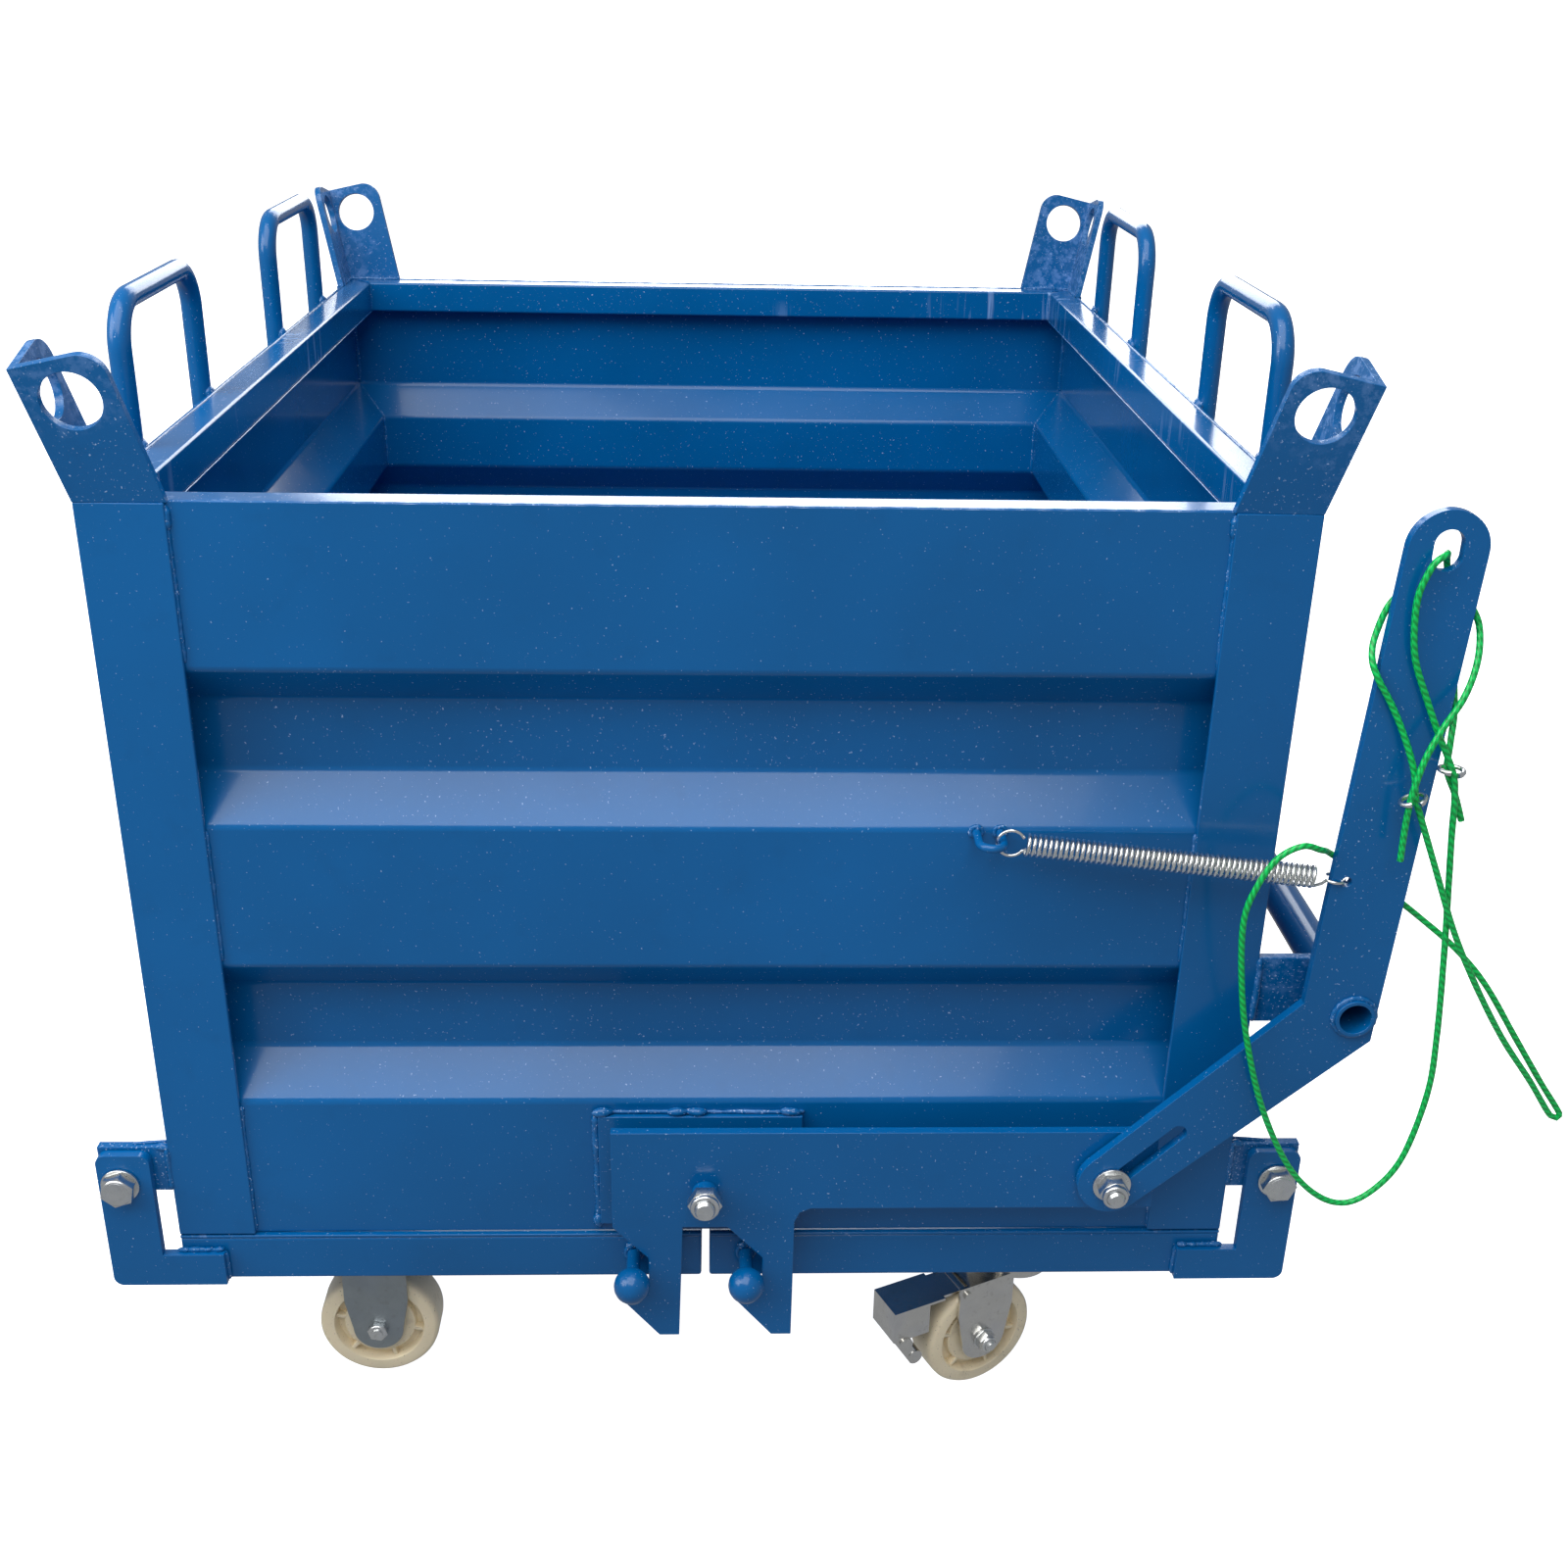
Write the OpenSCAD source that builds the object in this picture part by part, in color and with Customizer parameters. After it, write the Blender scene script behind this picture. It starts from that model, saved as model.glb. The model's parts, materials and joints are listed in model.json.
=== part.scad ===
// Bottom-discharge bin on casters: two drop doors, held shut front and rear by
// hooked latch plates that one sprung lever and its torque tube release.
// Working frame: X across, Y from front to back with 0 at the bin's middle,
// Z up from the lower edge of the walls. place() moves it onto the floor.

/* [Bin] */
// Width of the bin over its corner posts
bin_w = 1050; // [900:10:1400]
// Depth of the bin over its corner posts
bin_d = 1200; // [1000:10:1700]
// Height from the lower edge of the walls to the rim
bin_h = 750; // [600:10:1100]
// Thickness of the wall sheet
sheet_t = 3; // [2:0.5:5]
// How far each pressed rib goes in
rib_depth = 40; // [20:1:45]
// Height of the flat floor of a rib
rib_floor = 70; // [40:1:90]
// From the rim down to the first rib
rib_top = 150; // [120:5:200]
// From the top of one rib to the top of the next
rib_pitch = 295; // [200:5:320]

/* [Posts and rim] */
// Leg width of a corner post
post_leg = 75; // [60:1:90]
// Thickness of a corner post
post_t = 5; // [4:0.5:8]
// Width of the rim tube, seen from above
rim_w = 32; // [25:1:60]
// Height of the rim tube
rim_h = 40; // [30:1:60]
// Wall of the rim tube
rim_t = 3; // [2:0.5:4]

/* [Lifting lugs and hoops] */
// Length of a lifting lug above the rim
lug_len = 120; // [100:1:150]
// Thickness of a lifting lug
lug_t = 8; // [6:0.5:12]
// Outward lean of a lifting lug
lug_lean = 18; // [0:1:25]
// Hole in each leg of a lifting lug
lug_hole_d = 50; // [25:1:56]
// Height of that hole above the bend
lug_hole_up = 84; // [70:1:90]
// Radius of a lug's free top corner
lug_corner_r = 22; // [5:1:30]
// Bar of the side hoops
hoop_bar_d = 21; // [16:0.5:26]
// Height of a hoop above the rim
hoop_up = 140; // [90:5:200]
// Distance between a hoop's two legs
hoop_w = 240; // [160:5:300]
// Distance from the bin's middle to a hoop's middle
hoop_place = 290; // [180:5:340]
// Bend radius of a hoop
hoop_bend_r = 42; // [30:1:60]
// How far a hoop's legs lap the side wall
hoop_lap = 60; // [40:5:100]

/* [Doors] */
// Square tube of the door frames
door_tube = 50; // [40:1:60]
// Wall of that tube
door_tube_t = 4; // [2:0.5:5]
// Thickness of a door's sheet
door_sheet_t = 3; // [2:0.5:6]
// Gap between the walls and a closed door
door_gap = 2; // [1:0.5:6]
// Gap between the two doors
door_split = 8; // [4:1:12]
// How far each hinge axis stands out from the bin's side
hinge_out = 46; // [40:1:60]
// Height of the hinge axis
hinge_up = 69; // [55:1:85]
// Diameter of a hinge bolt
hinge_bolt_d = 20; // [16:1:24]
// Thickness of hinge arms and lugs
hinge_plate_t = 10; // [8:1:12]
// Diameter of the pins that the latches hold
pin_d = 14; // [10:1:18]
// Diameter of their ball ends
pin_ball_d = 36; // [24:1:40]
// From a door's face to the middle of the ball
pin_reach = 52; // [50:1:60]
// Place of the left door's pin across the bin
left_pin_x = -72; // [-90:1:-60]
// Place of the right door's pin across the bin
right_pin_x = 41; // [30:1:50]

/* [Latch and lever] */
// Thickness of the latch plates
latch_t = 10; // [6:1:12]
// Height of a latch plate's pivot
latch_pivot_up = 77; // [70:1:90]
// Diameter of that pivot
latch_pivot_d = 20; // [16:1:22]
// Across place of the bolt that links latch and lever
link_x = 395; // [360:1:420]
// Height of that bolt
link_up = 93; // [85:1:100]
// Diameter of that bolt
link_d = 10; // [8:1:10]
// Width of the slot that the bolt runs in
slot_w = 16; // [15:0.5:18]
// Length of that slot between the middles of its ends
slot_len = 84; // [50:1:90]
// Thickness of the lever
lever_t = 10; // [8:1:12]
// Width of the lever's hand arm
lever_w = 70; // [60:1:80]
// Length of the hand arm above the torque tube
lever_up = 451; // [350:1:600]
// How far the torque tube stands out from the bin's side
torque_out = 80; // [70:1:100]
// Height of the torque tube
torque_up = 283; // [260:1:300]
// Outer diameter of the torque tube
torque_d = 38; // [30:1:42]
// Bore of the torque tube
torque_bore = 30; // [20:1:32]
// Wire rope on the lever
rope_d = 6; // [4:0.5:8]

/* [Casters] */
// Wheel diameter
wheel_d = 125; // [100:5:150]
// Wheel width
wheel_w = 42; // [32:1:50]
// From a caster's seat to the floor
caster_h = 160; // [155:1:190]
// Distance from the bin's middle to a fixed caster, across
caster_x = 345; // [250:5:360]
// Distance from the bin's middle to a swivel caster, across
swivel_x = 330; // [240:5:360]
// Distance from the bin's face in to a caster
caster_in = 62; // [60:1:90]
// Axle diameter
axle_d = 12; // [10:1:14]
// Trail of a swivel caster
swivel_trail = 52; // [40:1:60]
// How far a parked swivel caster is turned from straight left
swivel_turn = 25; // [0:1:45]

/* [Hidden] */
$fn = 48;

paint = [0.03, 0.27, 0.58];
zinc = [0.72, 0.74, 0.76];
nylon = [0.93, 0.90, 0.80];
rope_green = [0.05, 0.75, 0.20];

running = 0.05;       // radial clearance of a running fit
air = 0.5;            // gap between plates that move past each other
seat = 0.2;           // gap under a round piece that is welded on

front = -bin_d / 2;
side = bin_w / 2;
wall_face = post_t;   // from the post's face in to the wall's outer face
hinge_x = side + hinge_out;
door_top = -door_gap;
door_bottom = door_top - door_sheet_t - door_tube;
floor_h = -door_bottom + caster_h;
torque_x = side + torque_out;

hinge_head_d = 34.6;
washer_d = 37;
washer_t = 3;
nut_h = 16;
link_nut_h = 20;
collar_d = 26;
collar_h = 12;
head_h = 12.5;
arm_w = 52;           // upright limb of a hinge arm
arm_foot = 37;        // height of its foot
arm_reach = 116;      // length of its foot
arm_over = 33;        // how far it rises past the bolt

backing_t = 8;
latch_back = front + wall_face - backing_t - 23;   // back face of the latch plate
latch_face = latch_back - latch_t;
lever_back = latch_face - 2;
lever_face = lever_back - lever_t;
pin_rise = 4;         // from a door frame's middle up to its pin
pin_up = (door_top + door_bottom) / 2 + pin_rise;
pocket_play = 9;
nose_top = pin_up - pin_d / 2 - pocket_play;
nose_lip = 14;        // upright tip of a hook before its bevel
nose_drop = 60;       // from the top of a hook to the end of its leg
leg_gap = 16;         // from a pin's middle to the leg that carries its hook
hook_reach = 12;      // how far a hook goes past the pin's middle
leg_w = 31;
latch_left = -91;
latch_top_up = 145;
latch_under_up = 56;
latch_right = link_x + 45;

slot_angle = 45;
lever_end_r = 33;
lever_lean = 11.5;    // across place of the hand arm's end, from the torque tube
inner_elbow = [-49, 14];
outer_elbow = [20, -27];
spring_hole = [-28, 141];
spring_hole_d = 10;
rope_hole_d = 26;
rope_hole_len = 10;

spring_d = 22;
spring_wire = 3.2;
spring_from = [275, front - 23, 450];
spring_to = [torque_x + spring_hole[0] - 0.9, lever_back - lever_t / 2, torque_up + spring_hole[1]];
spring_ring_r = 12.5; // ring that holds the eye
spring_tip_r = 9;     // hook in the lever's hole
spring_tail = 26;     // from that hook's end back to the coil

bracket_h = 70;
bracket_t = 10;
sleeve_d = 50;
sleeve_len = 44;

axle_up = -floor_h + wheel_d / 2;
fork_t = 3;
fork_w = 66;
fork_tip_r = 26;
axle_head = 12;
fork_gap = 3;         // between a wheel's hub and a fork leg
plate_l = 105;
plate_w = 85;
plate_t = 6;
swivel_h = 22;
bearing_r = 36;
pedal_t = 3;
trail_dir = 180 + swivel_turn;
axle_len = wheel_w + 2 * fork_gap + 2 * fork_t + 26;

x_least = -hinge_x - arm_w / 2 + 4;
x_most = torque_x + lever_lean + lever_w / 2;

module place() translate([-(x_least + x_most) / 2, 0, floor_h]) children();
module front_and_rear() {
  children();
  mirror([0, 1, 0]) children();
}
module both_sides() {
  children();
  mirror([1, 0, 0]) children();
}
module rod_y(x, z, d, y0, y1) translate([x, y1, z]) rotate([90, 0, 0]) cylinder(d = d, h = y1 - y0);
module ring_y(x, z, d, bore, y0, y1) difference() {
  rod_y(x, z, d, y0, y1);
  rod_y(x, z, bore, y0 - 1, y1 + 1);
}
module hex_y(x, z, across, bore, y0, y1) difference() {
  translate([x, y1, z]) rotate([90, 30, 0]) cylinder(d = across, h = y1 - y0, $fn = 6);
  if (bore > 0) rod_y(x, z, bore, y0 - 1, y1 + 1);
}
// A plate in the XZ plane from an outline, with its front face at y0
module plate_y(y0, t) translate([0, y0 + t, 0]) rotate([90, 0, 0]) linear_extrude(t) children();

// ---- walls ----
slant = sheet_t * tan(22.5);
function rib_line(z, off, k) = [[off, z - k], [off + rib_depth, z + rib_depth - k],
  [off + rib_depth, z + rib_depth + rib_floor + k], [off, z + 2 * rib_depth + rib_floor + k]];
rib_height = 2 * rib_depth + rib_floor;
upper_rib = bin_h - rib_top - rib_height;
lower_rib = upper_rib - rib_pitch;
function reversed(list) = [for (i = [len(list) - 1 : -1 : 0]) list[i]];
wall_outer = concat([[0, 0]], rib_line(lower_rib, 0, 0), rib_line(upper_rib, 0, 0), [[0, bin_h]]);
wall_inner = concat([[sheet_t, 0]], rib_line(lower_rib, sheet_t, slant),
  rib_line(upper_rib, sheet_t, slant), [[sheet_t, bin_h]]);

// Keeps what lies between the two mitred corners of a side of width w
module mitred(w, depth) intersection() {
  children();
  translate([0, 0, -1]) linear_extrude(bin_h + 2)
    polygon([[-w / 2, 0], [w / 2, 0], [w / 2 - depth, depth], [-w / 2 + depth, depth]]);
}
module along_x(w) rotate([90, 0, 90]) translate([0, 0, -w / 2]) linear_extrude(w) children();
module wall(w) mitred(w, rib_depth + sheet_t + 2) along_x(w) polygon(concat(wall_outer, reversed(wall_inner)));
module wall_y() translate([0, front + wall_face, 0]) wall(bin_w - 2 * wall_face);
module wall_x() translate([-side + wall_face, 0, 0]) rotate([0, 0, -90]) wall(bin_d - 2 * wall_face);
module front_wall() color(paint) place() wall_y();
module rear_wall() color(paint) place() mirror([0, 1, 0]) wall_y();
module left_wall() color(paint) place() wall_x();
module right_wall() color(paint) place() mirror([1, 0, 0]) wall_x();

module rim_tube(w) mitred(w, rim_w) along_x(w) difference() {
  translate([0, bin_h - rim_h]) square([rim_w, rim_h]);
  translate([rim_t, bin_h - rim_h + rim_t]) square([rim_w - 2 * rim_t, rim_h - 2 * rim_t]);
}
rim_in = wall_face + sheet_t;
module top_rim() color(paint) place() {
  front_and_rear() translate([0, front + rim_in, 0]) rim_tube(bin_w - 2 * rim_in);
  both_sides() translate([-side + rim_in, 0, 0]) rotate([0, 0, -90]) rim_tube(bin_d - 2 * rim_in);
}

module angle_2d(leg, t) union() {
  square([leg, t]);
  square([t, leg]);
}
module corner_posts() color(paint) place() both_sides() front_and_rear()
  translate([-side, front, 0]) linear_extrude(bin_h) angle_2d(post_leg, post_t);

// One leg of a lug, lying in XZ, with a round free corner and its hole
module lug_leg() difference() {
  rotate([90, 0, 0]) translate([0, 0, -lug_t]) linear_extrude(lug_t) union() {
    translate([0, -40]) square([post_leg - lug_corner_r, lug_len + 40]);
    translate([0, -40]) square([post_leg, lug_len + 40 - lug_corner_r]);
    translate([post_leg - lug_corner_r, lug_len - lug_corner_r]) circle(lug_corner_r);
  }
  rod_y(post_leg / 2, lug_hole_up, lug_hole_d, -1, lug_t + 1);
}
module lifting_lug() difference() {
  translate([-side, front, bin_h]) rotate(a = lug_lean, v = [1, -1, 0]) union() {
    lug_leg();
    mirror([1, -1, 0]) lug_leg();
  }
  translate([-side - 100, front - 100, bin_h - 200]) cube([300, 300, 200]);
}
module lifting_lugs() color(paint) place() both_sides() front_and_rear() lifting_lug();

hoop_x = side - wall_face + hoop_bar_d / 2 + seat;
hoop_top = bin_h + hoop_up - hoop_bar_d / 2;
module bend_x(r, d, from) rotate([90, 0, 90]) rotate_extrude(angle = 90, start = from) translate([r, 0]) circle(d = d);
module hoop() {
  half = hoop_w / 2;
  both_hoop_sides() {
    translate([0, half, bin_h - hoop_lap]) cylinder(d = hoop_bar_d, h = hoop_top - hoop_bend_r - bin_h + hoop_lap);
    translate([0, half - hoop_bend_r, hoop_top - hoop_bend_r]) bend_x(hoop_bend_r, hoop_bar_d, 0);
  }
  rod_y(0, hoop_top, hoop_bar_d, -half + hoop_bend_r, half - hoop_bend_r);
}
module both_hoop_sides() {
  children();
  mirror([0, 1, 0]) children();
}
module side_hoops() color(paint) place() both_sides() front_and_rear()
  translate([-hoop_x, -hoop_place, 0]) hoop();

// ---- hinges ----
lug_low = hinge_up - 15;
lug_high = hinge_up + 36;
module hinge_lugs() color(paint) place() both_sides() front_and_rear() difference() {
  translate([-hinge_x - 22, front + air, lug_low]) cube([hinge_out + 22, hinge_plate_t, lug_high - lug_low]);
  rod_y(-hinge_x, hinge_up, hinge_bolt_d, front - 1, front + air + hinge_plate_t + 1);
}
hinge_arm_face = front - hinge_plate_t;
module hinge_bolts() color(zinc) place() both_sides() front_and_rear() {
  rod_y(-hinge_x, hinge_up, hinge_bolt_d, hinge_arm_face - washer_t - 1, front + air + hinge_plate_t + nut_h + 6);
  hex_y(-hinge_x, hinge_up, hinge_head_d, 0, hinge_arm_face - washer_t - head_h - 0.8, hinge_arm_face - washer_t - 0.8);
}
module hinge_washers() color(zinc) place() both_sides() front_and_rear()
  ring_y(-hinge_x, hinge_up, washer_d, hinge_bolt_d, hinge_arm_face - washer_t - 0.8, hinge_arm_face - 0.8);
module hinge_nuts() color(zinc) place() both_sides() front_and_rear()
  hex_y(-hinge_x, hinge_up, hinge_head_d, hinge_bolt_d, front + air + hinge_plate_t, front + air + hinge_plate_t + nut_h);

arm_r = 10;
arm_bottom = door_bottom;
module round_box_2d(x0, z0, x1, z1, r) union() {
  translate([x0 + r, z0]) square([x1 - x0 - 2 * r, z1 - z0]);
  translate([x0, z0 + r]) square([x1 - x0, z1 - z0 - 2 * r]);
  for (x = [x0 + r, x1 - r], z = [z0 + r, z1 - r]) translate([x, z]) circle(r);
}
module hinge_arm() difference() {
  plate_y(hinge_arm_face, hinge_plate_t) union() {
    round_box_2d(-hinge_x - arm_w / 2 + 4, arm_bottom, -hinge_x + arm_w / 2 + 4, hinge_up + arm_over, arm_r);
    translate([-hinge_x, arm_bottom]) square([arm_reach - arm_w / 2, arm_foot]);
  }
  rod_y(-hinge_x, hinge_up, hinge_bolt_d + 2 * running, hinge_arm_face - 1, front + 1);
}
module left_hinge_arms() color(paint) place() front_and_rear() hinge_arm();
module right_hinge_arms() color(paint) place() front_and_rear() mirror([1, 0, 0]) hinge_arm();

// ---- doors ----
door_w = side - door_split / 2;
rail_z = door_bottom;
module tube_y(x) difference() {
  translate([x, front + door_tube, rail_z]) cube([door_tube, bin_d - 2 * door_tube, door_tube]);
  translate([x + door_tube_t, front, rail_z + door_tube_t])
    cube([door_tube - 2 * door_tube_t, bin_d, door_tube - 2 * door_tube_t]);
}
module tube_x() difference() {
  translate([-side, front, rail_z]) cube([door_w, door_tube, door_tube]);
  translate([-side + door_tube_t, front + door_tube_t, rail_z + door_tube_t])
    cube([door_w - 2 * door_tube_t, door_tube - 2 * door_tube_t, door_tube - 2 * door_tube_t]);
}
// The frame of the left door: two rails across, three along
module door_frame() union() {
  front_and_rear() tube_x();
  for (x = [-side, -caster_x - door_tube / 2, -door_split / 2 - door_tube]) tube_y(x);
}
module door_sheet() translate([-side, front, door_top - door_sheet_t]) cube([door_w, bin_d, door_sheet_t]);
module left_door_frame() color(paint) place() door_frame();
module left_door_sheet() color(paint) place() door_sheet();
module right_door_frame() color(paint) place() mirror([1, 0, 0]) door_frame();
module right_door_sheet() color(paint) place() mirror([1, 0, 0]) door_sheet();

module latch_pin(x) union() {
  rod_y(x, pin_up, pin_d, front - pin_reach, front);
  translate([x, front - pin_reach, pin_up]) sphere(d = pin_ball_d);
}
module left_latch_pins() color(paint) place() front_and_rear() latch_pin(left_pin_x);
module right_latch_pins() color(paint) place() front_and_rear() latch_pin(right_pin_x);

// ---- latches ----
module latch_backing_plates() color(paint) place() front_and_rear() difference() {
  translate([-105, front + wall_face - backing_t, 13]) cube([200, backing_t, 128]);
  rod_y(0, latch_pivot_up, latch_pivot_d, front - 20, front + wall_face + 1);
}
module latch_pivot_studs() color(zinc) place() front_and_rear()
  rod_y(0, latch_pivot_up, latch_pivot_d, latch_face - collar_h - nut_h - 6, front + wall_face);
module latch_spacers() color(zinc) place() front_and_rear()
  ring_y(0, latch_pivot_up, 34, latch_pivot_d, latch_back + air, front + wall_face - backing_t);
module latch_pivot_nuts() color(zinc) place() front_and_rear() union() {
  ring_y(0, latch_pivot_up, collar_d, latch_pivot_d, latch_face - collar_h - air, latch_face - air);
  hex_y(0, latch_pivot_up, 34, latch_pivot_d, latch_face - collar_h - nut_h - air, latch_face - collar_h - air);
}
// The outline runs round both hooked legs; each hook reaches left under its pin
function hook(pin, under) = [[pin + leg_gap - 35, under], [pin + leg_gap, under - 38], [pin + leg_gap, nose_top],
  [pin - hook_reach, nose_top], [pin - hook_reach, nose_top - nose_lip],
  [pin + leg_gap + 10, nose_top - nose_drop], [pin + leg_gap + leg_w - 1, nose_top - nose_drop]];
leg_root = 34;
latch_outline = concat([[latch_left, latch_top_up]], hook(left_pin_x, leg_root),
  [[left_pin_x + leg_gap + leg_w + 3, leg_root]], hook(right_pin_x, leg_root),
  [[right_pin_x + leg_gap + leg_w, latch_under_up - 16], [right_pin_x + leg_gap + leg_w + 5, latch_under_up - 5],
   [right_pin_x + leg_gap + leg_w + 16, latch_under_up], [latch_right, latch_under_up],
   [latch_right, latch_top_up]]);
module latch_plate() difference() {
  plate_y(latch_face, latch_t) polygon(latch_outline);
  rod_y(0, latch_pivot_up, latch_pivot_d + 2 * running, latch_face - 1, latch_back + 1);
  rod_y(link_x, link_up, link_d, latch_face - 1, latch_back + 1);
}
module link_bolt() {
  rod_y(link_x, link_up, link_d, lever_face - air - washer_t - link_nut_h, latch_back + 1);
  hex_y(link_x, link_up, 22, 0, latch_back, latch_back + 8);
  rod_y(link_x, link_up, 16, lever_face - air - washer_t - link_nut_h - 4, lever_face - air - washer_t - link_nut_h);
}
module link_nut() union() {
  ring_y(link_x, link_up, washer_d, link_d, lever_face - air - washer_t, lever_face - air);
  hex_y(link_x, link_up, 30, link_d, lever_face - air - washer_t - link_nut_h, lever_face - air - washer_t);
}
module front_latch_plate() color(paint) place() latch_plate();
module front_link_bolt() color(zinc) place() link_bolt();
module front_link_nut() color(zinc) place() link_nut();
module rear_latch_plate() color(paint) place() mirror([0, 1, 0]) latch_plate();
module rear_link_bolt() color(zinc) place() mirror([0, 1, 0]) link_bolt();
module rear_link_nut() color(zinc) place() mirror([0, 1, 0]) link_nut();

// ---- lever ----
link_at = [link_x - torque_x, link_up - torque_up];
hand_at = [lever_lean, lever_up];
// The point where a line from p touches the circle of radius r about c; turn is 1 or -1
function touch(p, c, r, turn) = let (v = c - p, far = norm(v), lean = atan2(v[1], v[0]) + turn * asin(r / far))
  p + sqrt(far * far - r * r) * [cos(lean), sin(lean)];
module lower_arm_2d(r) union() {
  polygon([inner_elbow, touch(inner_elbow, link_at, r, -1), touch(outer_elbow, link_at, r, 1), outer_elbow,
    [outer_elbow[0], torque_d / 2], [inner_elbow[0] + 3, torque_d / 2 + 35]]);
  translate(link_at) circle(r);
}
module hand_arm_2d() union() {
  polygon([inner_elbow, outer_elbow, touch(outer_elbow, hand_at, lever_w / 2, -1),
    touch(inner_elbow, hand_at, lever_w / 2, 1)]);
  translate(hand_at) circle(lever_w / 2);
}
module slot_y(at, angle, length, w) translate([at[0], 0, at[1]]) rotate([0, -angle, 0]) union() {
  translate([0, front, -w / 2]) translate([0, -200, 0]) cube([length, 250, w]);
  for (x = [0, length]) rod_y(x, 0, w, front - 200, front + 50);
}
module lever_bores() {
  slot_y(link_at, slot_angle, slot_len, slot_w);
  rod_y(0, 0, torque_d, front - 200, front + 50);
}
module lever_plate() color(paint) place() translate([torque_x, 0, torque_up]) difference() {
  plate_y(lever_face, lever_t) union() {
    lower_arm_2d(lever_end_r);
    hand_arm_2d();
  }
  lever_bores();
  rod_y(spring_hole[0], spring_hole[1], spring_hole_d, front - 200, front + 50);
  slot_y(hand_at + [0, -rope_hole_len / 2], 90, rope_hole_len, rope_hole_d);
}
module rear_arm() color(paint) place() mirror([0, 1, 0]) translate([torque_x, 0, torque_up]) difference() {
  plate_y(lever_face, lever_t) union() {
    lower_arm_2d(lever_end_r);
    circle(-inner_elbow[0] - 6);
  }
  lever_bores();
}
module torque_tube() color(paint) place()
  ring_y(torque_x, torque_up, torque_d, torque_bore, lever_face - 6, -lever_face + 6);

sleeve_bore = torque_d + 2 * running;
bracket_back = front + bracket_t;
module bearing_brackets() color(paint) place() front_and_rear() difference() {
  translate([0, bracket_back, 0]) rotate([90, 0, 0]) linear_extrude(bracket_t) union() {
    translate([side, torque_up - bracket_h / 2]) square([torque_out, bracket_h]);
    translate([torque_x, torque_up]) circle(d = bracket_h);
  }
  rod_y(torque_x, torque_up, sleeve_d, front - 1, bracket_back + 1);
}
module bearing_sleeves() color(paint) place() front_and_rear()
  ring_y(torque_x, torque_up, sleeve_d, sleeve_bore, front - 15, front - 15 + sleeve_len);

// ---- return spring and its eye ----
eye_r = 11;
eye_wire = 8;
module spring_eye() color(paint) place() translate([spring_from[0] - spring_ring_r - 4.5, front + wall_face, spring_from[2] - 2]) {
  stub = front + wall_face - spring_from[1] - 3;
  for (x = [-eye_r, eye_r]) translate([x, 0, 0]) rotate([90, 0, 0]) cylinder(d = eye_wire, h = stub);
  translate([0, -stub, 0]) rotate_extrude(angle = 180, start = 180) translate([eye_r, 0]) circle(d = eye_wire);
}
spring_vec = spring_to - spring_from;
spring_len = norm(spring_vec);
coil_len = spring_len - spring_ring_r - 1 - spring_tail;
module return_spring() color(zinc) place() translate(spring_from)
  rotate([0, acos(spring_vec[2] / spring_len), atan2(spring_vec[1], spring_vec[0])]) union() {
    translate([0, 0, spring_ring_r + 1]) difference() {
      cylinder(d = spring_d, h = coil_len);
      translate([0, 0, 4]) cylinder(d = spring_d - 2 * spring_wire, h = coil_len - 8);
    }
    rotate([90, 0, 0]) rotate_extrude() translate([spring_ring_r, 0]) circle(d = spring_wire);
    translate([0, 0, spring_len - spring_tail - 1]) cylinder(d = spring_wire, h = spring_tail + 2 - 2 * spring_tip_r);
    translate([0, 0, spring_len - spring_tip_r]) rotate([0, 90, 0])
      rotate_extrude() translate([spring_tip_r, 0]) circle(d = spring_wire);
  }

// ---- wire rope ----
// The rope's middle line, point by point from one tail to the other
rope_route = [
  [667, -656, 490], [657, -656, 515], [646, -656, 538], [647, -650, 561], [650, -640, 585], [647, -634, 614],
  [637, -634, 659], [628, -634, 699], [622, -635, 720], [618, -643, 730], [612, -654, 732], [603, -658, 727],
  [598, -657, 715], [594, -656, 697], [595, -656, 671], [601, -656, 640], [617, -656, 604], [631, -659, 574],
  [648, -663, 540], [654, -663, 515], [658, -663, 477], [665, -663, 418], [672, -663, 357], [680, -663, 273],
  [682, -663, 208], [670, -663, 135], [648, -663, 97], [621, -663, 81], [590, -664, 93], [557, -664, 130],
  [524, -664, 197], [500, -664, 274], [488, -664, 337], [483, -664, 393], [490, -664, 426], [505, -664, 455],
  [526, -664, 468], [545, -657, 461], [554, -645, 454], [563, -633, 446], [590, -632, 428], [625, -632, 404],
  [656, -636, 381], [690, -646, 354], [721, -654, 320], [758, -658, 265], [790, -658, 218], [811, -658, 189],
  [816, -659, 180], [807, -660, 180], [778, -662, 221], [740, -664, 272], [699, -668, 338], [671, -670, 391],
  [645, -670, 451], [625, -669, 498], [618, -667, 516], [613, -664, 542], [601, -658, 573], [587, -654, 600],
  [573, -652, 622], [568, -644, 638], [572, -634, 656], [583, -632, 686], [608, -631, 699], [638, -632, 692],
  [655, -637, 673], [658, -646, 653], [654, -656, 631], [645, -663, 607], [630, -668, 582], [619, -671, 557], [613, -673, 532],
  [611, -673, 513], [611, -672, 489], [612, -672, 458]];
rope_sides = 8;
rope_n = len(rope_route);
function unit(v) = v / norm(v);
function rope_dir(i) = unit(rope_route[min(i + 1, rope_n - 1)] - rope_route[max(i - 1, 0)]);
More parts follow.
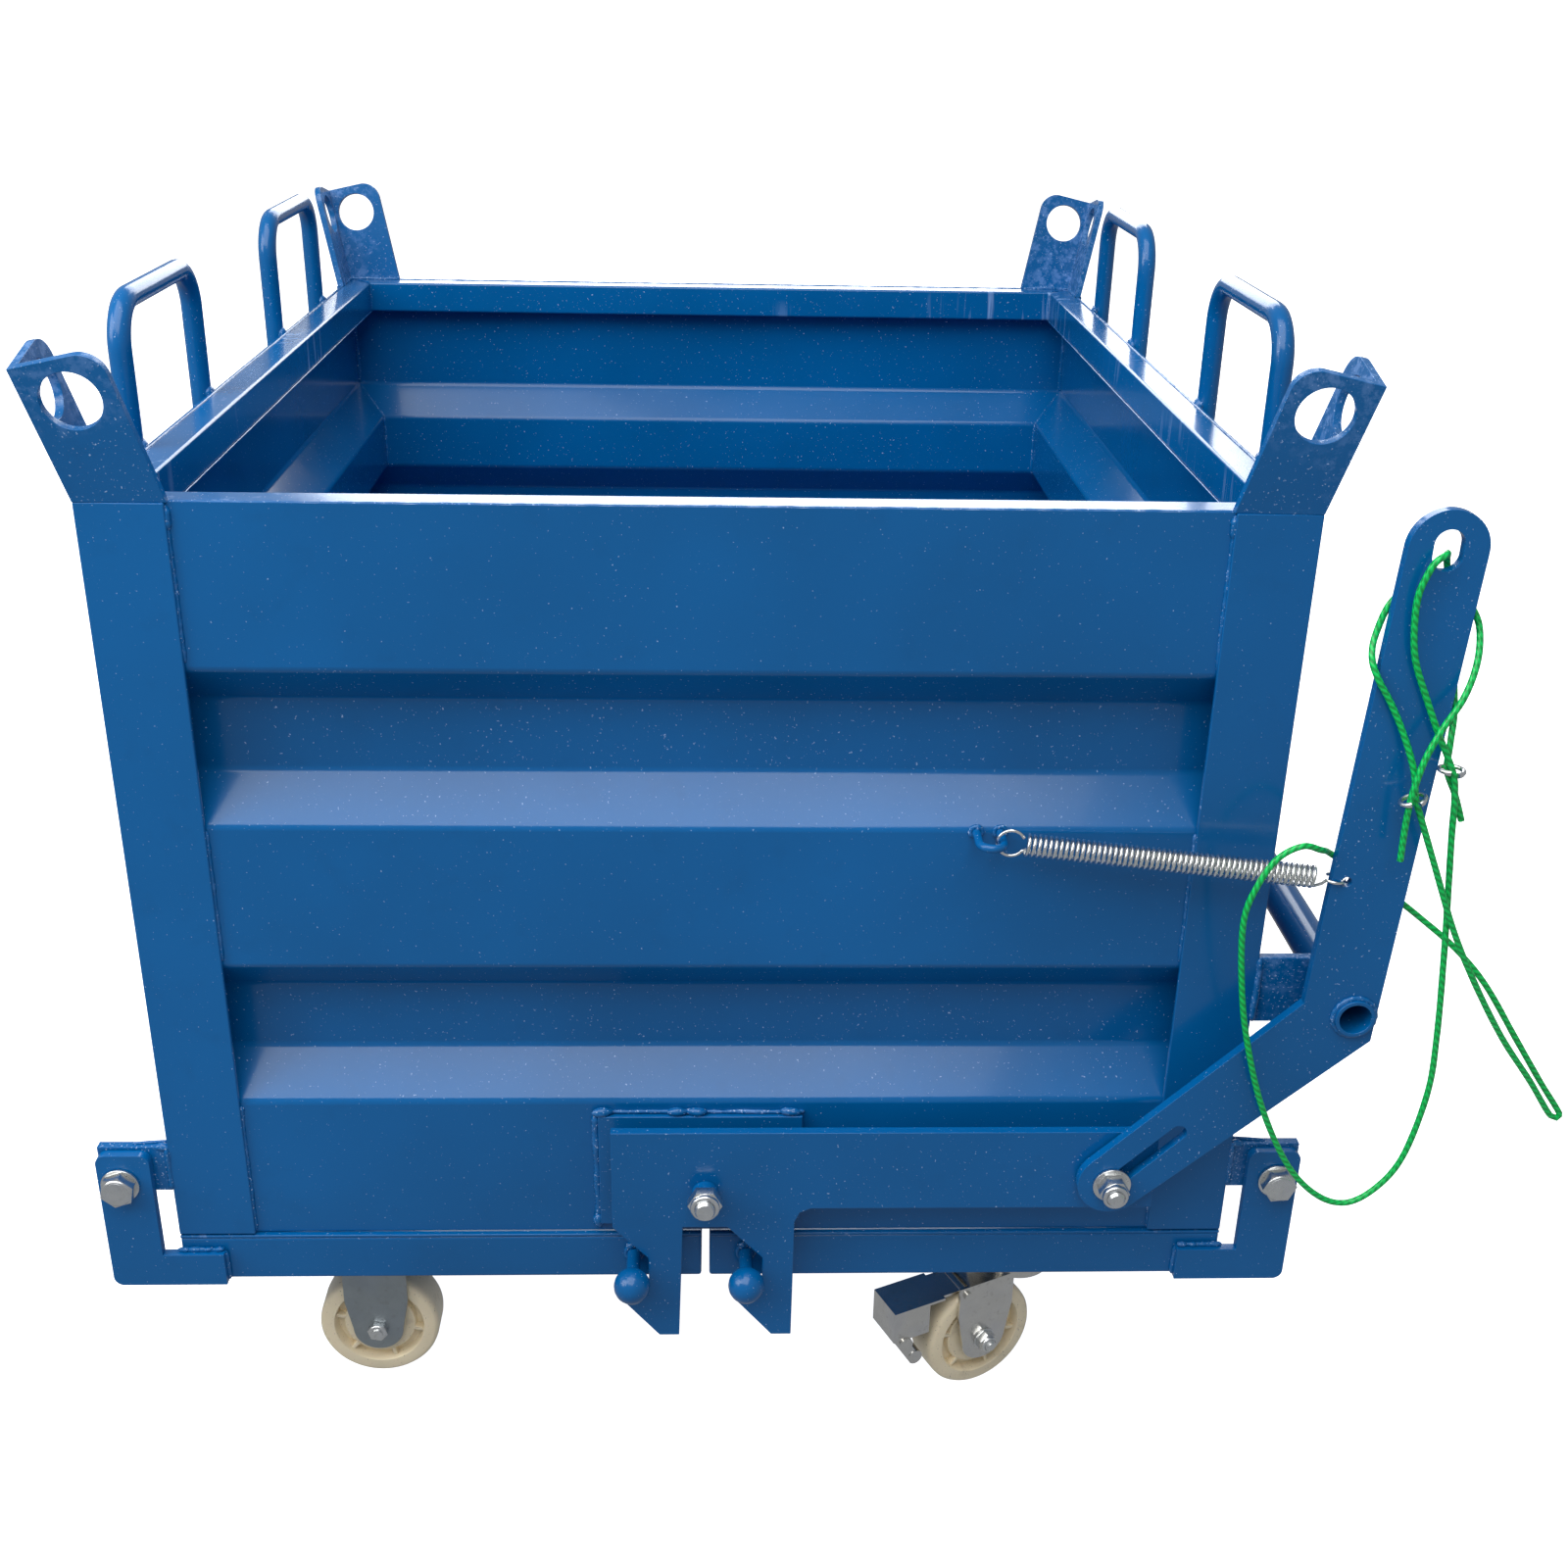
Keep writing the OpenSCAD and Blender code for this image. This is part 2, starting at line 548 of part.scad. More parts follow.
// The ring's first direction is carried from each point to the next, so the tube doesn't twist
rope_frames = [for (i = 0, s = unit(cross(rope_dir(0), [0, 1, 0])); i < rope_n;
  i = i + 1, s = i < rope_n ? unit(s - (s * rope_dir(i)) * rope_dir(i)) : s) s];
rope_points = [for (i = [0 : rope_n - 1], j = [0 : rope_sides - 1])
  let (s = rope_frames[i], t = cross(rope_dir(i), s), a = 360 * j / rope_sides)
    rope_route[i] + rope_d / 2 * (cos(a) * s + sin(a) * t)];
rope_faces = concat([[for (j = [rope_sides - 1 : -1 : 0]) j]],
  [for (i = [0 : rope_n - 2], j = [0 : rope_sides - 1])
    [i * rope_sides + j, i * rope_sides + (j + 1) % rope_sides,
     (i + 1) * rope_sides + (j + 1) % rope_sides, (i + 1) * rope_sides + j]],
  [[for (j = [0 : rope_sides - 1]) (rope_n - 1) * rope_sides + j]]);
module pull_rope() color(rope_green) place() polyhedron(points = rope_points, faces = rope_faces);

// A clip is a block that holds two strands side by side, with its two nuts
module rope_clip(at, turn) translate(at) rotate([0, turn, 0]) {
  translate([-11, -11, -5]) cube([22, 6, 10]);
  for (x = [-7, 7]) translate([x, -11, 0]) rotate([90, 0, 0]) cylinder(d = 8, h = 5, $fn = 6);
}
module rope_clips() color(zinc) place() {
  rope_clip([648, -661.4, 539], 20);
  rope_clip([614, -671.4, 515], 0);
}

// ---- casters ----
module wheel() difference() {
  rotate([90, 0, 0]) rotate_extrude($fn = 64) union() {
    translate([axle_d / 2 + 8, -8]) square([wheel_d / 2 - axle_d / 2 - 16, 16]);
    translate([axle_d / 2 - 2, -wheel_w / 2 - 1]) square([16, wheel_w + 2]);
    translate([wheel_d / 2 - 15, -wheel_w / 2 + 5]) square([15, wheel_w - 10]);
    translate([wheel_d / 2 - 15, -wheel_w / 2]) square([10, wheel_w]);
    for (s = [-1, 1]) translate([wheel_d / 2 - 5, s * (wheel_w / 2 - 5)]) circle(5);
  }
  rod_y(0, 0, axle_d + 2 * running, -wheel_w, wheel_w);
}
caster_y = front + caster_in;
hub_half = wheel_w / 2 + 1;
leg_in = hub_half + fork_gap - 1;      // from the wheel's middle to a fork leg
seat_z = door_bottom;
module fork_leg_2d(top) difference() {
  union() {
    polygon([[-fork_w / 2, top], [-fork_w / 2, axle_up + 36], [-fork_tip_r, axle_up], [fork_tip_r, axle_up],
      [fork_w / 2, axle_up + 36], [fork_w / 2, top]]);
    translate([0, axle_up]) circle(fork_tip_r);
  }
  translate([0, axle_up]) circle(d = axle_d);
}
module fork_legs(top) for (y = [-leg_in - fork_t, leg_in])
  translate([0, y + fork_t, 0]) rotate([90, 0, 0]) linear_extrude(fork_t) fork_leg_2d(top);
module fixed_fork() union() {
  translate([-plate_l / 2, -plate_w / 2, seat_z - plate_t]) cube([plate_l, plate_w, plate_t]);
  fork_legs(seat_z - plate_t + 1);
}
module axle() {
  rod_y(0, axle_up, axle_d, -axle_len / 2, axle_len / 2);
  for (s = [-1, 1]) let (head_y = s * (leg_in + fork_t + axle_head / 2))
    hex_y(0, axle_up, 22, 0, head_y - axle_head / 2, head_y + axle_head / 2);
}
module fixed_caster_forks() color(zinc) place() front_and_rear() translate([-caster_x, caster_y, 0]) fixed_fork();
module fixed_caster_axles() color(zinc) place() front_and_rear() translate([-caster_x, caster_y, 0]) axle();
module left_front_wheel() color(nylon) place() translate([-caster_x, caster_y, axle_up]) wheel();
module left_rear_wheel() color(nylon) place() translate([-caster_x, -caster_y, axle_up]) wheel();

race_top = seat_z - plate_t;
crown_top = race_top - swivel_h;
kingpin_d = 14;
pedal_pin_d = 9;
pedal_pivot = [swivel_trail + 24, crown_top - 5];
module swivel_top_plates() color(zinc) place() front_and_rear() translate([swivel_x, caster_y, 0]) union() {
  translate([-plate_l / 2, -plate_w / 2, race_top]) cube([plate_l, plate_w, plate_t]);
  difference() {
    translate([0, 0, race_top - swivel_h / 2]) cylinder(r = bearing_r, h = swivel_h / 2);
    translate([0, 0, crown_top]) cylinder(d = kingpin_d, h = race_top - crown_top);
  }
}
module swivel_kingpins() color(zinc) place() front_and_rear() translate([swivel_x, caster_y, crown_top - 6]) {
  cylinder(d = kingpin_d, h = race_top - crown_top + 6);
  cylinder(d = 24, h = 6 - air);
}
// A swivel fork trails along local +X, its wheel below and behind the kingpin
module swivel_fork() difference() {
  union() {
    translate([0, 0, crown_top]) cylinder(r = bearing_r, h = swivel_h / 2 - air);
    translate([-10, -leg_in - fork_t, crown_top]) cube([swivel_trail + 30, 2 * (leg_in + fork_t), 5]);
    translate([swivel_trail, 0, 0]) fork_legs(crown_top + 5);
  }
  translate([0, 0, crown_top - 10]) cylinder(d = kingpin_d + 2 * running, h = 40);
  rod_y(pedal_pivot[0], pedal_pivot[1], pedal_pin_d + 2 * running, -leg_in - fork_t - 1, leg_in + fork_t + 1);
}
module swivel_axle() translate([swivel_trail, 0, 0]) axle();
// The brake's folded cover hangs in front of the wheel and ends in a rolled foot
cover_from = 24;      // from the pedal's pin to the cover's back edge
cheek_from = 42;      // and to the back edge of its cheeks
cover_to = 84;
cover_drop = 36;
cover_half = 22;
foot_d = 16;
foot_web = 9;         // thickness between the foot's two rolls
foot_high = [70, -42];
foot_low = [58, -62];
foot_half = 24;
module foot() {
  span = foot_low - foot_high;
  for (at = [foot_high, foot_low]) rod_y(at[0], at[1], foot_d, -foot_half, foot_half);
  translate([foot_high[0], 0, foot_high[1]]) rotate([0, -atan2(span[1], span[0]), 0])
    translate([0, 1 - foot_half, -foot_web / 2]) cube([norm(span), 2 * foot_half - 2, foot_web]);
}
module brake_pedal() translate([pedal_pivot[0], 0, pedal_pivot[1]]) union() {
  rod_y(0, 0, pedal_pin_d, -leg_in - fork_t - 3, leg_in + fork_t + 3);
  translate([-2, -18, -pedal_t / 2]) cube([cover_from + 8, 36, pedal_t]);
  translate([cover_from, -cover_half, -pedal_t / 2]) cube([cover_to - cover_from, 2 * cover_half, pedal_t]);
  translate([cover_to - pedal_t, -cover_half, -cover_drop]) cube([pedal_t, 2 * cover_half, cover_drop]);
  for (y = [-cover_half, cover_half - pedal_t]) translate([cheek_from, y, -cover_drop])
    cube([cover_to - cheek_from, pedal_t, cover_drop]);
  foot();
}
module trailing(y) translate([swivel_x, y, 0]) rotate([0, 0, trail_dir]) children();
module front_swivel_fork() color(zinc) place() trailing(caster_y) swivel_fork();
module front_swivel_axle() color(zinc) place() trailing(caster_y) swivel_axle();
module front_brake_pedal() color(zinc) place() trailing(caster_y) brake_pedal();
module right_front_wheel() color(nylon) place() trailing(caster_y) translate([swivel_trail, 0, axle_up]) wheel();
module rear_swivel_fork() color(zinc) place() trailing(-caster_y) swivel_fork();
module rear_swivel_axle() color(zinc) place() trailing(-caster_y) swivel_axle();
module rear_brake_pedal() color(zinc) place() trailing(-caster_y) brake_pedal();
module right_rear_wheel() color(nylon) place() trailing(-caster_y) translate([swivel_trail, 0, axle_up]) wheel();

corner_posts();
lifting_lugs();
front_wall();
rear_wall();
left_wall();
right_wall();
top_rim();
side_hoops();
hinge_lugs();
hinge_bolts();
hinge_washers();
hinge_nuts();
latch_backing_plates();
latch_pivot_studs();
latch_spacers();
latch_pivot_nuts();
bearing_brackets();
bearing_sleeves();
spring_eye();
return_spring();
lever_plate();
torque_tube();
rear_arm();
pull_rope();
rope_clips();
front_latch_plate();
front_link_bolt();
front_link_nut();
rear_latch_plate();
rear_link_bolt();
rear_link_nut();
left_door_frame();
left_door_sheet();
left_hinge_arms();
left_latch_pins();
fixed_caster_forks();
fixed_caster_axles();
left_front_wheel();
left_rear_wheel();
right_door_frame();
right_door_sheet();
right_hinge_arms();
right_latch_pins();
swivel_top_plates();
swivel_kingpins();
front_swivel_fork();
front_swivel_axle();
front_brake_pedal();
right_front_wheel();
rear_swivel_fork();
rear_swivel_axle();
rear_brake_pedal();
right_rear_wheel();
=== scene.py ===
import json
import math

import bmesh
import bpy
from bpy.props import FloatProperty, FloatVectorProperty, IntProperty, PointerProperty
from mathutils import Matrix, Vector, noise


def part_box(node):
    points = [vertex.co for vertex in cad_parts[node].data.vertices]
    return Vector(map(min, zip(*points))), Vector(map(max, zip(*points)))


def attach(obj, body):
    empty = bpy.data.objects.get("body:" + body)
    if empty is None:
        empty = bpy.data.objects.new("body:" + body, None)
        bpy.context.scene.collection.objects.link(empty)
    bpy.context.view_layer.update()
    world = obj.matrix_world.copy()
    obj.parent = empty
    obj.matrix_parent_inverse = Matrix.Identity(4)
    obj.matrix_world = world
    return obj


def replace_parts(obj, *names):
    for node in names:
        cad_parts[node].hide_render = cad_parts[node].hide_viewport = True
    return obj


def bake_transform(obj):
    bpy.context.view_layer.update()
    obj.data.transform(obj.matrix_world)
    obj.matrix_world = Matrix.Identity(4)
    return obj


bl_info = {
    "name": "Bottom-Discharge Bin",
    "version": (1, 0, 0),
    "blender": (4, 5, 0),
    "location": "View3D > Sidebar > Bin",
    "description": "Painted steel bin with drop doors, a latch lever, a spring, a pull rope and casters",
    "category": "Add Mesh",
}

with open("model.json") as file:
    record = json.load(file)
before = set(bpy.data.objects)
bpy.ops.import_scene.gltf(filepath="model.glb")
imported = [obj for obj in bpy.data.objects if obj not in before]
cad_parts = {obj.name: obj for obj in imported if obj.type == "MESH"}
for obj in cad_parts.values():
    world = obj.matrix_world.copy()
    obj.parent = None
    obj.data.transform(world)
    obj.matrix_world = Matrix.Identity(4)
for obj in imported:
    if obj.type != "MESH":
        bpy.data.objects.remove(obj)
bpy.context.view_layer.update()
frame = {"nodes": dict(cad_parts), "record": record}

# The walls' middle and lower edge are the place that every size below is counted from.
POSTS_LOW, POSTS_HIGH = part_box("corner_posts")
ORIGIN = Vector(((POSTS_LOW[0] + POSTS_HIGH[0]) / 2, 0, POSTS_LOW[2]))
MM = 0.001

# Places in the bin in millimetres: across from its middle (x), back to front (y), and up from the walls' edge (z)
HINGE_X, HINGE_Z = 571, 69
PIN_X = {"left": -72, "right": 41}
PIN_Z = -24.5
STUD_Z = 77
LINK_X, LINK_Z = 395, 93
TORQUE_X, TORQUE_Z = 605, 283
EYE_X, EYE_Z = 258, 448
EYE_BEND = 11
CASTER_Y, AXLE_Z = 538, -152.5
FIXED_X, SWIVEL_X, SWIVEL_TRAIL = -345, 330, 52

ROPE_ROUTE = (
    (667, -656, 490), (657, -656, 515), (646, -656, 538), (647, -650, 561), (650, -640, 585), (647, -634, 614),
    (637, -634, 659), (628, -634, 699), (622, -635, 720), (618, -643, 730), (612, -654, 732), (603, -658, 727),
    (598, -657, 715), (594, -656, 697), (595, -656, 671), (601, -656, 640), (617, -656, 604), (631, -659, 574),
    (648, -663, 540), (654, -663, 515), (658, -663, 477), (665, -663, 418), (672, -663, 357), (680, -663, 273),
    (682, -663, 208), (670, -663, 135), (648, -663, 97), (621, -663, 81), (590, -664, 93), (557, -664, 130),
    (524, -664, 197), (500, -664, 274), (488, -664, 337), (483, -664, 393), (490, -664, 426), (505, -664, 455),
    (526, -664, 468), (545, -657, 461), (554, -645, 454), (563, -633, 446), (590, -632, 428), (625, -632, 404),
    (656, -636, 381), (690, -646, 354), (721, -654, 320), (758, -658, 265), (790, -658, 218), (811, -658, 189),
    (816, -659, 180), (807, -660, 180), (778, -662, 221), (740, -664, 272), (699, -668, 338), (671, -670, 391),
    (645, -670, 451), (625, -669, 498), (618, -667, 516), (613, -664, 542), (601, -658, 573), (587, -654, 600),
    (573, -652, 622), (568, -644, 638), (572, -634, 656), (583, -632, 686), (608, -631, 699), (638, -632, 692),
    (655, -637, 673), (658, -646, 653), (654, -656, 631), (645, -663, 607), (630, -668, 582), (619, -671, 557),
    (613, -673, 532), (611, -673, 513), (611, -672, 489), (612, -672, 458),
)


def mm(x, y, z):
    """A place in millimetres, from the bin's middle and the walls' lower edge, in the row frame."""
    return ORIGIN + Vector((x, y, z)) * MM


# ---- settings ----
class BinFinish(bpy.types.PropertyGroup):
    paint: FloatVectorProperty(name="Paint", description="Colour of the enamel", subtype="COLOR",
                               size=3, min=0, max=1, default=(0.0, 0.11, 0.34))
    paint_rough: FloatProperty(name="Paint roughness", description="Roughness of the enamel", min=0, max=1,
                               default=0.2, subtype="FACTOR")
    zinc: FloatVectorProperty(name="Zinc", description="Colour of plated bolts and the spring", subtype="COLOR",
                              size=3, min=0, max=1, default=(0.72, 0.73, 0.72))
    nylon: FloatVectorProperty(name="Nylon", description="Colour of the wheels", subtype="COLOR",
                               size=3, min=0, max=1, default=(0.87, 0.76, 0.55))
    rope: FloatVectorProperty(name="Rope", description="Colour of the rope's coating", subtype="COLOR",
                              size=3, min=0, max=1, default=(0.0, 0.48, 0.09))


class BinEdges(bpy.types.PropertyGroup):
    plate: FloatProperty(name="Plate edge", description="Rounding of cut plate edges", unit="LENGTH", default=0.0009,
                         min=0.0002, max=0.003)
    sheet: FloatProperty(name="Sheet bend", description="Rounding of the folds in the wall sheet", unit="LENGTH",
                         default=0.004, min=0.0005, max=0.006)
    tube: FloatProperty(name="Tube corner", description="Rounding of square tubes", unit="LENGTH", default=0.003,
                        min=0.0005, max=0.006)
    weld: FloatProperty(name="Weld", description="Radius of a common weld bead", unit="LENGTH", default=0.0035,
                        min=0.001, max=0.008)


class BinSpringRope(bpy.types.PropertyGroup):
    coils: IntProperty(name="Coils", description="Turns of the return spring", default=54, min=20, max=90)
    wire: FloatProperty(name="Spring wire", description="Wire of the return spring", unit="LENGTH", default=0.0031,
                        min=0.001, max=0.005)
    rope: FloatProperty(name="Rope", description="Diameter of the pull rope", unit="LENGTH", default=0.006,
                        min=0.004, max=0.008)


class BinStage(bpy.types.PropertyGroup):
    floor: FloatVectorProperty(name="Floor", description="Colour of the floor", subtype="COLOR", size=3, min=0,
                               max=1, default=(0.86, 0.865, 0.87))
    sky: FloatProperty(name="Surroundings", description="Brightness of the surroundings", min=0, max=3, default=0.35)
    top_light: FloatProperty(name="Top light", description="Power of the light overhead", unit="POWER", min=0,
                             max=2000, default=110)
    side_light: FloatProperty(name="Side light", description="Power of the light at the left", unit="POWER", min=0,
                              max=2000, default=70)


# ---- finishes ----
class Nodes:
    """Short calls for the nodes of one material."""

    def __init__(self, name):
        self.material = bpy.data.materials.new(name)
        self.material.use_nodes = True
        self.tree = self.material.node_tree
        self.shader = self.tree.nodes["Principled BSDF"]
        self.place = self.tree.nodes.new("ShaderNodeTexCoord").outputs["Object"]

    def link(self, source, target):
        self.tree.links.new(source, target)

    def mapped(self, scale):
        node = self.tree.nodes.new("ShaderNodeMapping")
        node.inputs["Scale"].default_value = scale
        self.link(self.place, node.inputs["Vector"])
        return node.outputs["Vector"]

    def noise(self, scale, detail=3.0, rough=0.55, vector=None):
        node = self.tree.nodes.new("ShaderNodeTexNoise")
        node.inputs["Scale"].default_value = scale
        node.inputs["Detail"].default_value = detail
        node.inputs["Roughness"].default_value = rough
        self.link(vector or self.place, node.inputs["Vector"])
        return node.outputs["Fac"]

    def ramp(self, value, low, high, dark=(0, 0, 0), light=(1, 1, 1)):
        node = self.tree.nodes.new("ShaderNodeValToRGB")
        first, last = node.color_ramp.elements
        first.position, last.position = low, high
        first.color = (*dark, 1)
        last.color = (*light, 1)
        self.link(value, node.inputs["Fac"])
        return node.outputs["Color"]

    def mix(self, amount, a, b):
        node = self.tree.nodes.new("ShaderNodeMix")
        node.data_type = "RGBA"
        for socket, value in ((node.inputs["Factor"], amount), (node.inputs["A"], a), (node.inputs["B"], b)):
            if isinstance(value, bpy.types.NodeSocket):
                self.link(value, socket)
            elif isinstance(value, (int, float)):
                socket.default_value = value
            else:
                socket.default_value = (*value, 1)
        return node.outputs["Result"]

    def span(self, value, low, high):
        node = self.tree.nodes.new("ShaderNodeMapRange")
        node.inputs["To Min"].default_value = low
        node.inputs["To Max"].default_value = high
        self.link(value, node.inputs["Value"])
        return node.outputs["Result"]

    def bump(self, height, distance, strength=1.0, after=None):
        node = self.tree.nodes.new("ShaderNodeBump")
        node.inputs["Distance"].default_value = distance
        node.inputs["Strength"].default_value = strength
        self.link(height, node.inputs["Height"])
        if after:
            self.link(after, node.inputs["Normal"])
        return node.outputs["Normal"]


def shade(colour, factor):
    return tuple(min(1.0, c * factor) for c in colour)


def enamel(name, finish, specks=0.70, streaks=0.0, mottle=0.0):
    """Gloss enamel: slow changes of tone, orange peel, dust nibs whose pale specks are painted glints, and pale runs
    or a mottled skin if asked.
    """
    n = Nodes(name)
    tone = n.ramp(n.noise(2.6, 3), 0.3, 0.75, shade(finish.paint, 0.84), shade(finish.paint, 1.14))
    thin = n.ramp(n.noise(34, 4, 0.6), 0.56, 0.74)
    colour = n.mix(n.span(thin, 0, 0.18), tone, shade(finish.paint, 0.7))
    # dust nibs: the bump is real, and the pale blue colour of each speck is a painted glint
    dust_nibs_and_glints = n.ramp(n.noise(410, 2, 0.5), specks, specks + 0.05)
    colour = n.mix(n.span(dust_nibs_and_glints, 0, 0.75), colour, (0.42, 0.58, 0.86))
    if streaks:
        run = n.ramp(n.noise(1, 3, 0.6, n.mapped((55, 55, 4))), 0.56, 0.66)
        patch = n.ramp(n.noise(5, 2), 0.5, 0.62)
        spread = n.mix(patch, (0, 0, 0), run)
        colour = n.mix(n.span(spread, 0, streaks), colour, (0.30, 0.47, 0.80))
    if mottle:
        skin = n.ramp(n.noise(95, 5, 0.7), 0.47, 0.6)
        patch = n.ramp(n.noise(9, 3), 0.42, 0.6)
        spread = n.mix(patch, (0, 0, 0), skin)
        colour = n.mix(n.span(spread, 0, mottle), colour, (0.16, 0.32, 0.66))
    n.link(colour, n.shader.inputs["Base Color"])
    n.link(n.span(n.noise(11, 4, 0.6), finish.paint_rough - 0.08, finish.paint_rough + 0.12),
           n.shader.inputs["Roughness"])
    wave = n.bump(n.noise(7, 2), 0.0011, 0.35)
    peel = n.bump(n.noise(260, 2, 0.5), 0.00012, 0.35, wave)
    if mottle:
        peel = n.bump(n.noise(120, 5, 0.7), 0.0004, mottle, peel)
    n.link(n.bump(dust_nibs_and_glints, 0.0002, 0.5, peel), n.shader.inputs["Normal"])
    n.shader.inputs["Coat Weight"].default_value = 0.15
    n.shader.inputs["Specular IOR Level"].default_value = 0.35
    n.shader.inputs["Coat Roughness"].default_value = 0.06
    return n.material


def plated(name, colour, rough=0.26, spangle=0.1, stain=0.25, scratches=0.3):
    """Zinc plate or bright steel with a changing sheen, fine scratches and dull stains."""
    n = Nodes(name)
    tone = n.ramp(n.noise(60, 4, 0.6), 0.35, 0.7, shade(colour, 1 - spangle), shade(colour, 1 + spangle))
    tint = n.ramp(n.noise(25, 3), 0.45, 0.65, colour, (colour[0] * 0.92, colour[1] * 0.95, colour[2] * 1.06))
    base = n.mix(0.4, tone, tint)
    dull = n.ramp(n.noise(150, 5, 0.65), 0.58, 0.72)
    base = n.mix(n.span(dull, 0, stain), base, (0.22, 0.2, 0.17))
    n.link(base, n.shader.inputs["Base Color"])
    n.link(n.span(n.noise(220, 4, 0.6), rough - 0.08, rough + 0.14), n.shader.inputs["Roughness"])
    lines = n.noise(1, 3, 0.7, n.mapped((30, 900, 30)))
    n.link(n.bump(lines, 0.00005, scratches), n.shader.inputs["Normal"])
    n.shader.inputs["Metallic"].default_value = 1.0
    return n.material


def moulded_nylon(name, finish):
    """Cream nylon, a little translucent, with grime that gathers in patches and dark pits."""
    n = Nodes(name)
    tone = n.ramp(n.noise(14, 3), 0.3, 0.75, shade(finish.nylon, 0.9), shade(finish.nylon, 1.08))
    grime = n.ramp(n.noise(38, 6, 0.7), 0.56, 0.74)
    colour = n.mix(n.span(grime, 0, 0.5), tone, (0.30, 0.22, 0.13))
    pits = n.ramp(n.noise(420, 2, 0.5), 0.69, 0.73)
    colour = n.mix(n.span(pits, 0, 0.8), colour, (0.08, 0.06, 0.05))
    n.link(colour, n.shader.inputs["Base Color"])
    n.link(n.span(grime, 0.34, 0.62), n.shader.inputs["Roughness"])
    n.link(n.bump(n.noise(180, 4, 0.6), 0.0002, 0.4), n.shader.inputs["Normal"])
    n.shader.inputs["Subsurface Weight"].default_value = 0.12
    n.shader.inputs["Subsurface Radius"].default_value = (0.004, 0.003, 0.002)
    return n.material


def rope_coat(name, finish):
    """Bright coating over laid strands: the lay shows as slanted grooves that follow the rope, with painted shade in
    the grooves and painted highlight on the strands' crowns.
    """
    n = Nodes(name)
    along = n.tree.nodes.new("ShaderNodeUVMap")
    along.uv_map = "lay"
    wave = n.tree.nodes.new("ShaderNodeTexWave")
    wave.wave_type = "BANDS"
    wave.bands_direction = "DIAGONAL"
    wave.inputs["Scale"].default_value = 1.6
    wave.inputs["Distortion"].default_value = 0.3
    n.link(along.outputs["UV"], wave.inputs["Vector"])
    strand_grooves_and_shade = wave.outputs["Fac"]
    # the strand bands also colour the coating: painted shade in the grooves and painted highlight on the crowns
    tone = n.ramp(strand_grooves_and_shade, 0.1, 0.85, shade(finish.rope, 0.62), shade(finish.rope, 1.25))
    worn = n.ramp(n.noise(120, 5, 0.7), 0.6, 0.72)
    colour = n.mix(n.span(worn, 0, 0.35), tone, (0.02, 0.22, 0.06))
    n.link(colour, n.shader.inputs["Base Color"])
    n.link(n.span(n.noise(300, 3), 0.24, 0.42), n.shader.inputs["Roughness"])
    n.link(n.bump(strand_grooves_and_shade, 0.0004, 0.6), n.shader.inputs["Normal"])
    return n.material


def dark_rubber(name):
    """Black rubber or oily steel; made, but given to no piece."""
    n = Nodes(name)
    n.link(n.ramp(n.noise(80, 4), 0.3, 0.8, (0.008, 0.008, 0.009), (0.035, 0.035, 0.037)),
           n.shader.inputs["Base Color"])
    n.link(n.span(n.noise(200, 3), 0.45, 0.75), n.shader.inputs["Roughness"])
    n.link(n.bump(n.noise(500, 3), 0.0001, 0.5), n.shader.inputs["Normal"])
    return n.material


def floor_finish(stage):
    """Pale matt floor with a barely visible change of tone."""
    n = Nodes("floor_finish")
    n.link(n.ramp(n.noise(0.7, 2), 0.3, 0.7, shade(stage.floor, 0.985), stage.floor), n.shader.inputs["Base Color"])
    n.shader.inputs["Roughness"].default_value = 0.9
    n.shader.inputs["Specular IOR Level"].default_value = 0.1
    n.shader.inputs["Emission Color"].default_value = (1, 1, 1, 1)
    n.shader.inputs["Emission Strength"].default_value = 1.0
    return n.material


FINISHES = {}


def make_finishes(finish):
    """All the materials, once."""
    if FINISHES:
        return FINISHES
    FINISHES["paint"] = enamel("blue_enamel", finish)
    FINISHES["runny"] = enamel("blue_enamel_runs", finish, streaks=0.65)
    FINISHES["rough"] = enamel("blue_enamel_mottled", finish, specks=0.67, mottle=0.55)
    FINISHES["weld"] = enamel("blue_enamel_weld", finish, specks=0.63, mottle=0.35)
    FINISHES["zinc"] = plated("zinc_plate", finish.zinc)
    FINISHES["spring"] = plated("spring_zinc", shade(finish.zinc, 1.08), rough=0.22, stain=0.12)
    FINISHES["dull"] = plated("dull_zinc", (0.36, 0.40, 0.42), rough=0.42, spangle=0.08, stain=0.35)
    FINISHES["bright"] = plated("bright_plate", (0.68, 0.67, 0.64), rough=0.16, spangle=0.06, stain=0.3)
    FINISHES["nylon"] = moulded_nylon("moulded_nylon", finish)
    FINISHES["rope"] = rope_coat("green_coat", finish)
    FINISHES["black"] = dark_rubber("black_rubber")
    return FINISHES


# ---- modelling helpers ----
def piece(name, bm, finish, body, replaced=(), smooth=38.0, weighted=False):
    """Turns a finished bmesh into a piece that moves with a body and may stand for CAD nodes."""
    mesh = bpy.data.meshes.new(name)
    bm.to_mesh(mesh)
    bm.free()
    mesh.polygons.foreach_set("use_smooth", [True] * len(mesh.polygons))
    mesh.set_sharp_from_angle(angle=math.radians(smooth))
    for one in finish if isinstance(finish, (list, tuple)) else [finish]:
        mesh.materials.append(FINISHES[one])
    obj = bpy.data.objects.new(name, mesh)
    bpy.context.scene.collection.objects.link(obj)
    if weighted:
        modifier = obj.modifiers.new("even_faces", "WEIGHTED_NORMAL")
        modifier.keep_sharp = True
    if body:
        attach(obj, body)
    if replaced:
        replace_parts(obj, *replaced)
    return obj


def body_of(node):
    """The body that holds a CAD node."""
    for body, nodes in frame["record"]["behaviour"]["bodies"].items():
        if node in nodes:
            return body
    raise RuntimeError(f"no body holds {node}")


